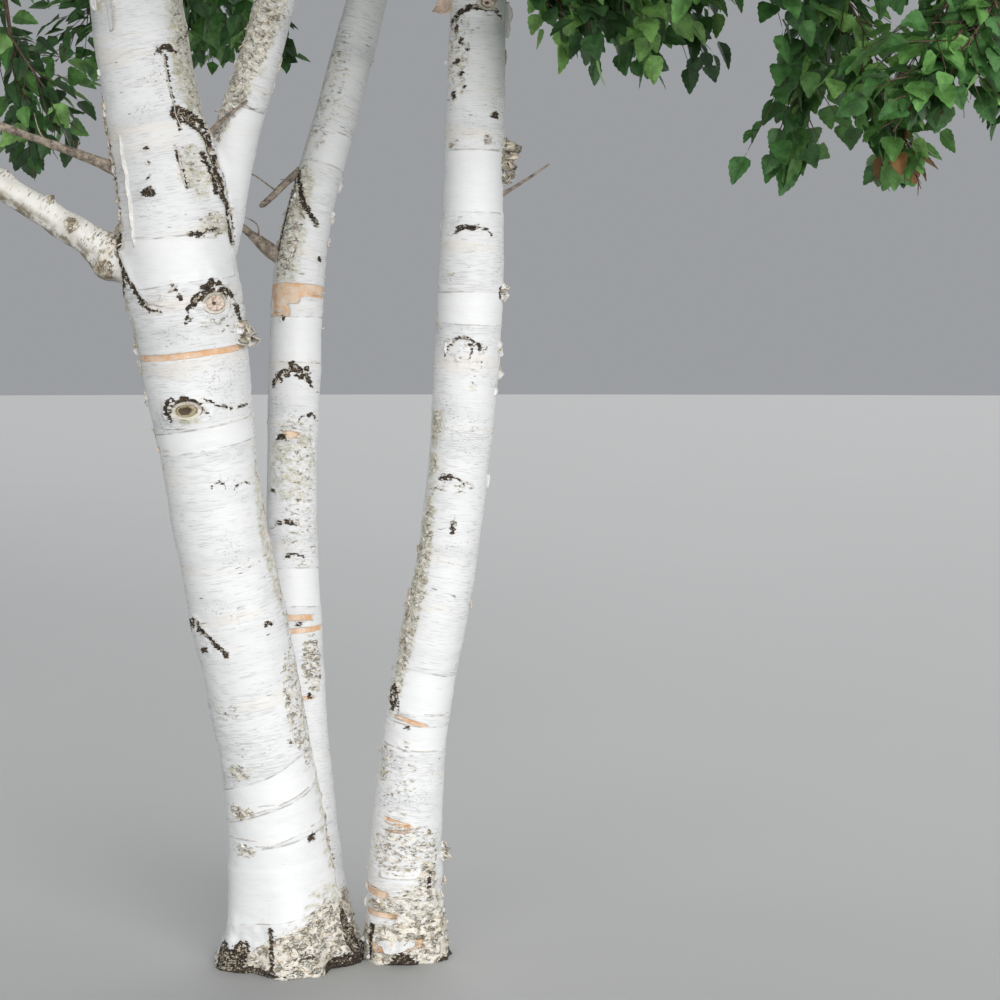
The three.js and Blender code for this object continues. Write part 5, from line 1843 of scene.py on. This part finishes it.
SPUR_STEP = 0.035
spur_place, spur_blade, spur_mass = [], [], []
for index, mass in enumerate(masses):
    run = np.arange(0.3, 1.0, SPUR_STEP / mass["length"])[:, None]
    limbs = [(spine_at(mass, run), spine_way(mass, run))]
    for twig in twig_rows:
        if twig["mass"] == index:
            run = np.arange(0.1, 0.98, SPUR_STEP / twig["length"])[:, None]
            limbs.append((twig["start"] + twig["direction"] * twig["length"] * run,
                          twig["direction"] + 0 * run))
    for points, along in limbs:
        place, blade = spur_leaves(points, along, 2)
        spur_place.append(place)
        spur_blade.append(blade)
        spur_mass.append(np.full(len(place), index))
leaf_place = np.vstack([leaf_place] + spur_place)
leaf_blade = np.vstack([leaf_blade] + spur_blade)
spur_mass = np.concatenate(spur_mass)
leaf_mass = np.concatenate([leaf_mass, spur_mass])
leaf_free = np.concatenate([leaf_free, np.zeros(len(spur_mass), bool)])
leaf_colour = np.concatenate([leaf_colour, draws.choice(4, len(spur_mass))])
print(len(spur_mass), "leaves on spurs; sprays by colour", np.bincount(spray_colour))

REAL_LEAF = (0.052, 0.082)  # the shortest and longest leaf
STALK = 0.24  # a stalk's length as a share of the leaf's
LOW_DENSITY = 0.74  # share of the leaves that the airy low masses keep
LEAF_BOX_MARGIN = 0.005
LEAF_LIMB_GAP = 0.02
leaf_size = draws.uniform(*REAL_LEAF, len(leaf_place))
facing = unit(UP + draws.normal(0, 0.5, leaf_place.shape))
leaf_side = unit(np.cross(facing, leaf_blade))
leaf_up = np.cross(leaf_blade, leaf_side)

# %% Skip the leaves that would leave their space or touch a limb
tips = leaf_place + leaf_blade * leaf_size[:, None] * (1 + STALK)
keep = in_box(tips, LEAF_BOX_MARGIN)
for index, mass in enumerate(masses):
    rows = np.nonzero(leaf_mass == index)[0]
    deep = (depth_in(mass, tips[rows]) < 1.12) | leaf_free[rows]
    high = tips[rows, 2] > LOWEST_FOLIAGE - 0.02
    near = np.linalg.norm(limb_points - mass["centre"], axis=1) < mass["radius"] + 0.4
    gaps = np.linalg.norm(tips[rows][:, None] - limb_points[near], axis=2) - limb_radii[near]
    keep[rows] &= deep & high & (gaps.min(1) > LEAF_LIMB_GAP)
    if mass["ring"] == "low":
        keep[rows] &= draws.random(len(rows)) < LOW_DENSITY
leaf_place, leaf_blade, leaf_side, leaf_up = (v[keep] for v in (leaf_place, leaf_blade, leaf_side, leaf_up))
leaf_size, leaf_colour, leaf_mass = leaf_size[keep], leaf_colour[keep], leaf_mass[keep]
print(len(leaf_place), "leaves,", round(len(leaf_place) / sprays), "on a spray")


# %% [markdown]
# ## The leaf
# A birch leaf is oval with a drawn-out tip, a toothed edge and a fold along its middle. Leaves high in
# the crown are two folded faces in the leaf's outline, and near ones have a rib that bends and teeth
# along their edge. Each is an opaque mesh on its own short stalk.


# %% Model one leaf, plain and toothed
FOLD = 0.22  # how steeply the halves rise beside the rib
TIP_BEND = 0.16
TEETH = 5  # on each side of a near leaf
TOOTH = 0.016  # as a share of the leaf's length
STALK_ROWS = [(-STALK, 0.0), (0.03, -0.014), (0.03, 0.014)]


def half_leaf(t):
    """Half the width of a leaf at shares t of its length, widest a third of the way up."""
    return 0.395 * np.sin(math.pi * t ** 0.62) ** 0.85 * (1 - 0.25 * t)


def folded(outline):
    """Points in the leaf's plane, lifted beside the rib and bent down towards the tip."""
    flat = np.array(outline)
    fold = FOLD * np.abs(flat[:, 1]) - TIP_BEND * np.maximum(flat[:, 0], 0) ** 2
    return np.column_stack([flat, fold])


def plain_template():
    """Two quads beside the rib and a stalk."""
    low, high = (0.3, half_leaf(0.3) * 1.08), (0.66, half_leaf(0.66) * 1.1)
    corners = [(0, 0), (1, 0), low, high, (low[0], -low[1]), (high[0], -high[1])]
    return folded(corners + STALK_ROWS), [[0, 1, 3, 2], [0, 4, 5, 1], [6, 7, 8]]


def toothed_template():
    """Faces from the rib to a toothed edge on both sides, and a stalk."""
    t = np.linspace(0, 1, TEETH + 1)
    corners, faces = [(v, 0.0) for v in t], []
    for hand_of in (1, -1):
        start = len(corners)
        edge = [(v, hand_of * half_leaf(v)) for v in t[1:-1]]
        corners += edge
        rim = [0] + [start + i for i in range(len(edge))] + [TEETH]
        for i in range(TEETH):
            middle = (t[i] + t[i + 1]) / 2
            corners.append((middle + 0.02, hand_of * (half_leaf(middle) * 1.04 + TOOTH)))
            face = [i, rim[i], len(corners) - 1, rim[i + 1], i + 1]
            face = [corner for n, corner in enumerate(face) if corner not in face[:n]]
            faces.append(face if hand_of < 0 else face[::-1])
    stalk = len(corners)
    return folded(corners + STALK_ROWS), faces + [[stalk, stalk + 1, stalk + 2]]


plain_leaf, toothed_leaf = plain_template(), toothed_template()
print("plain leaf", len(plain_leaf[1]), "faces, toothed leaf", len(toothed_leaf[1]), "faces")

# %% [markdown]
# ## Leaf finishes
# Leaves are a dark and a middle green with some in brighter yellow-green and a few that have turned.
# A pattern placed on so many leaves would be lost, so most leaves of a spray share one plain colour,
# and the finish only adds the slight mottling and gloss that all leaves share.

# %% Finish: leaves
LEAF_COLOURS = {
    "leaf_deep": (0.034, 0.092, 0.026),
    "leaf_mid": (0.06, 0.165, 0.042),
    "leaf_fresh": (0.112, 0.265, 0.062),
    "leaf_bright": (0.205, 0.4, 0.105),
    "leaf_yellow": (0.46, 0.38, 0.06),
    "leaf_bronze": (0.26, 0.13, 0.045),
}


def leaf_material(name, colour):
    material, surface = new_material(name)
    vector = add("TexCoord").outputs["Object"]
    mottle = noise(vector, 34, 3, 0.6)
    veins = noise(vector, 260, 2, 0.5)
    darker = [v * 0.62 for v in colour]
    lighter = [min(1, v * 1.35 + 0.01) for v in colour]
    tone = blend(ease(mottle, 0.3, 0.7), darker, lighter)
    tone = blend(ease(veins, 0.45, 0.7, 0, 0.35), tone, lighter)
    gloss = ease(mottle, 0.3, 0.7, 0.36, 0.52)
    finish_material(surface, tone, gloss, times(veins, 0.0012))
    fill(surface.inputs["Specular IOR Level"], 0.4)
    return material


leaf_materials = [leaf_material(name, colour) for name, colour in LEAF_COLOURS.items()]


# %% Build the leaves, ring by ring
def build_leaves(ring, rows, template):
    points, outline = template
    axes = np.stack([leaf_blade[rows], leaf_side[rows], leaf_up[rows]], 1) * leaf_size[rows][:, None, None]
    stalk_end = leaf_place[rows] + leaf_blade[rows] * leaf_size[rows][:, None] * STALK
    corners = stalk_end[:, None] + np.einsum("vk,nkc->nvc", points, axes)
    start = (np.arange(len(axes)) * len(points))[:, None, None]
    faces, slots = [], []
    for sides in sorted({len(row) for row in outline}):
        same = np.array([row for row in outline if len(row) == sides])
        faces.append((same[None] + start).reshape(-1, sides))
        slots.append(np.repeat(leaf_colour[rows], len(same)))
    dress(ring_nodes(ring, "foliage_"), "foliage", "leaves_" + ring, corners.reshape(-1, 3), faces,
          leaf_materials, slots=np.concatenate(slots), smooth=False)


rings = np.array([mass["ring"] for mass in masses])
for ring in RING_NAMES + ["top"]:
    rows = np.nonzero(rings[leaf_mass] == ring)[0]
    build_leaves(ring, rows, toothed_leaf if ring == "low" else plain_leaf)

# %% Build the twigs, ring by ring
SHOOT_RADIUS = 0.0042
SIDE_TWIG_RADIUS = 0.0021


def build_twigs(ring):
    chosen = [i for i, mass in enumerate(masses) if mass["ring"] == ring]
    share = np.linspace(0, 1, 9)
    stems = np.array([spine_at(masses[i], share[:, None]) for i in chosen])
    stem_radii = np.array([spine_radius(masses[i], share) for i in chosen]) * (1 - 0.7 * share ** 3)
    limbs = [twig for twig in twig_rows if twig["mass"] in chosen]
    run = np.linspace(0, 1, 6)
    bend = UP * (0.04 * run * (1 - run))[:, None]
    paths = np.array([twig["start"] + twig["direction"] * twig["length"] * run[:, None]
                      + bend * twig["length"] * 4 for twig in limbs])
    limb_sizes = np.array([twig["radius"] * (1 - 0.72 * run) for twig in limbs])
    mine = np.isin(owner, chosen)
    shoot_run = np.linspace(0, 1, 6) + np.zeros((sprays, 1))
    shoots = shoot_at(shoot_run)[mine]
    shoot_radii = SHOOT_RADIUS * (1 - 0.7 * shoot_run[mine])
    side_run = np.linspace(0, 1, 2) + np.zeros((sprays, SIDE_TWIGS, 1))
    sides_of = side_at(side_run)[mine].reshape(-1, 2, 3)
    side_radii = SIDE_TWIG_RADIUS * (1 - 0.6 * side_run[mine].reshape(-1, 2))
    parts = [tubes(stems, stem_radii, 8), tubes(paths, limb_sizes, 6), tubes(shoots, shoot_radii, 4),
             tubes(sides_of, side_radii, 3)]
    dress(ring_nodes(ring, "foliage_"), "foliage", "twigs_" + ring, *joined(parts), [twig_bark])


for ring in RING_NAMES + ["top"]:
    build_twigs(ring)

# %% [markdown]
# ## Floor, light and camera
# The tree stands on a plain pale floor in soft light from several sides, seen from where the
# photographer stood: at eye height, a little under five and a half metres away.

# %% Lay the floor
pale_floor, surface = new_material("pale_floor")
vector = add("TexCoord").outputs["Object"]
cloud = noise(vector, 0.6, 4)
tone = blend(cloud, (0.5, 0.5, 0.495), (0.54, 0.54, 0.535))
finish_material(surface, tone, ease(cloud, 0, 1, 0.75, 0.9), times(noise(vector, 90, 2), 0.0004))
FLOOR_RADIUS = 90
FLOOR_SIDES = 96
rim = compass(even_turns(FLOOR_SIDES)) * FLOOR_RADIUS
floor = make_piece("floor", rim - UP * 0.0005, [np.arange(FLOOR_SIDES)[None]], [pale_floor])


# %% Set the lights
def sun(name, azimuth, elevation, strength, softness):
    """A soft distant light: azimuth is where it stands, clockwise from straight behind the camera."""
    data = bpy.data.lights.new(name, "SUN")
    data.energy = strength
    data.angle = math.radians(softness)
    lamp = bpy.data.objects.new(name, data)
    a, e = math.radians(azimuth), math.radians(elevation)
    stand = Vector((math.sin(a) * math.cos(e), -math.cos(a) * math.cos(e), math.sin(e)))
    lamp.rotation_mode = "QUATERNION"
    lamp.rotation_quaternion = stand.to_track_quat("Z", "Y")
    bpy.context.scene.collection.objects.link(lamp)
    print("light", name, "of strength", strength)


sun("key", 26, 16, 2.1, 40)
sun("fill", -18, 8, 1.0, 50)
sun("back", 165, 38, 1.4, 60)
world = bpy.data.worlds.new("studio")
world.use_nodes = True
backdrop = world.node_tree.nodes["Background"]
fill(backdrop.inputs["Color"], (0.33, 0.34, 0.355))
fill(backdrop.inputs["Strength"], 1.0)
bpy.context.scene.world = world
bpy.context.scene.view_settings.view_transform = "Standard"

# %% Place the camera
CAMERA_PLACE = (0.555, -5.4, 1.57)
LENS = 75  # millimetres, like the sensor
SENSOR = 36
PICTURE = 1000  # pixels, like the horizon's height above the middle
HORIZON = 140
CAMERA_DOWN = math.atan(HORIZON / (PICTURE * LENS / SENSOR))
camera_data = bpy.data.cameras.new("camera")
camera_data.lens = LENS
camera_data.sensor_width = SENSOR
camera = bpy.data.objects.new("camera", camera_data)
camera.location = CAMERA_PLACE
camera.rotation_euler = (math.pi / 2 - CAMERA_DOWN, 0, 0)
bpy.context.scene.collection.objects.link(camera)
bpy.context.scene.camera = camera
print("camera at", CAMERA_PLACE)

# %% Update the scene
bpy.context.view_layer.update()
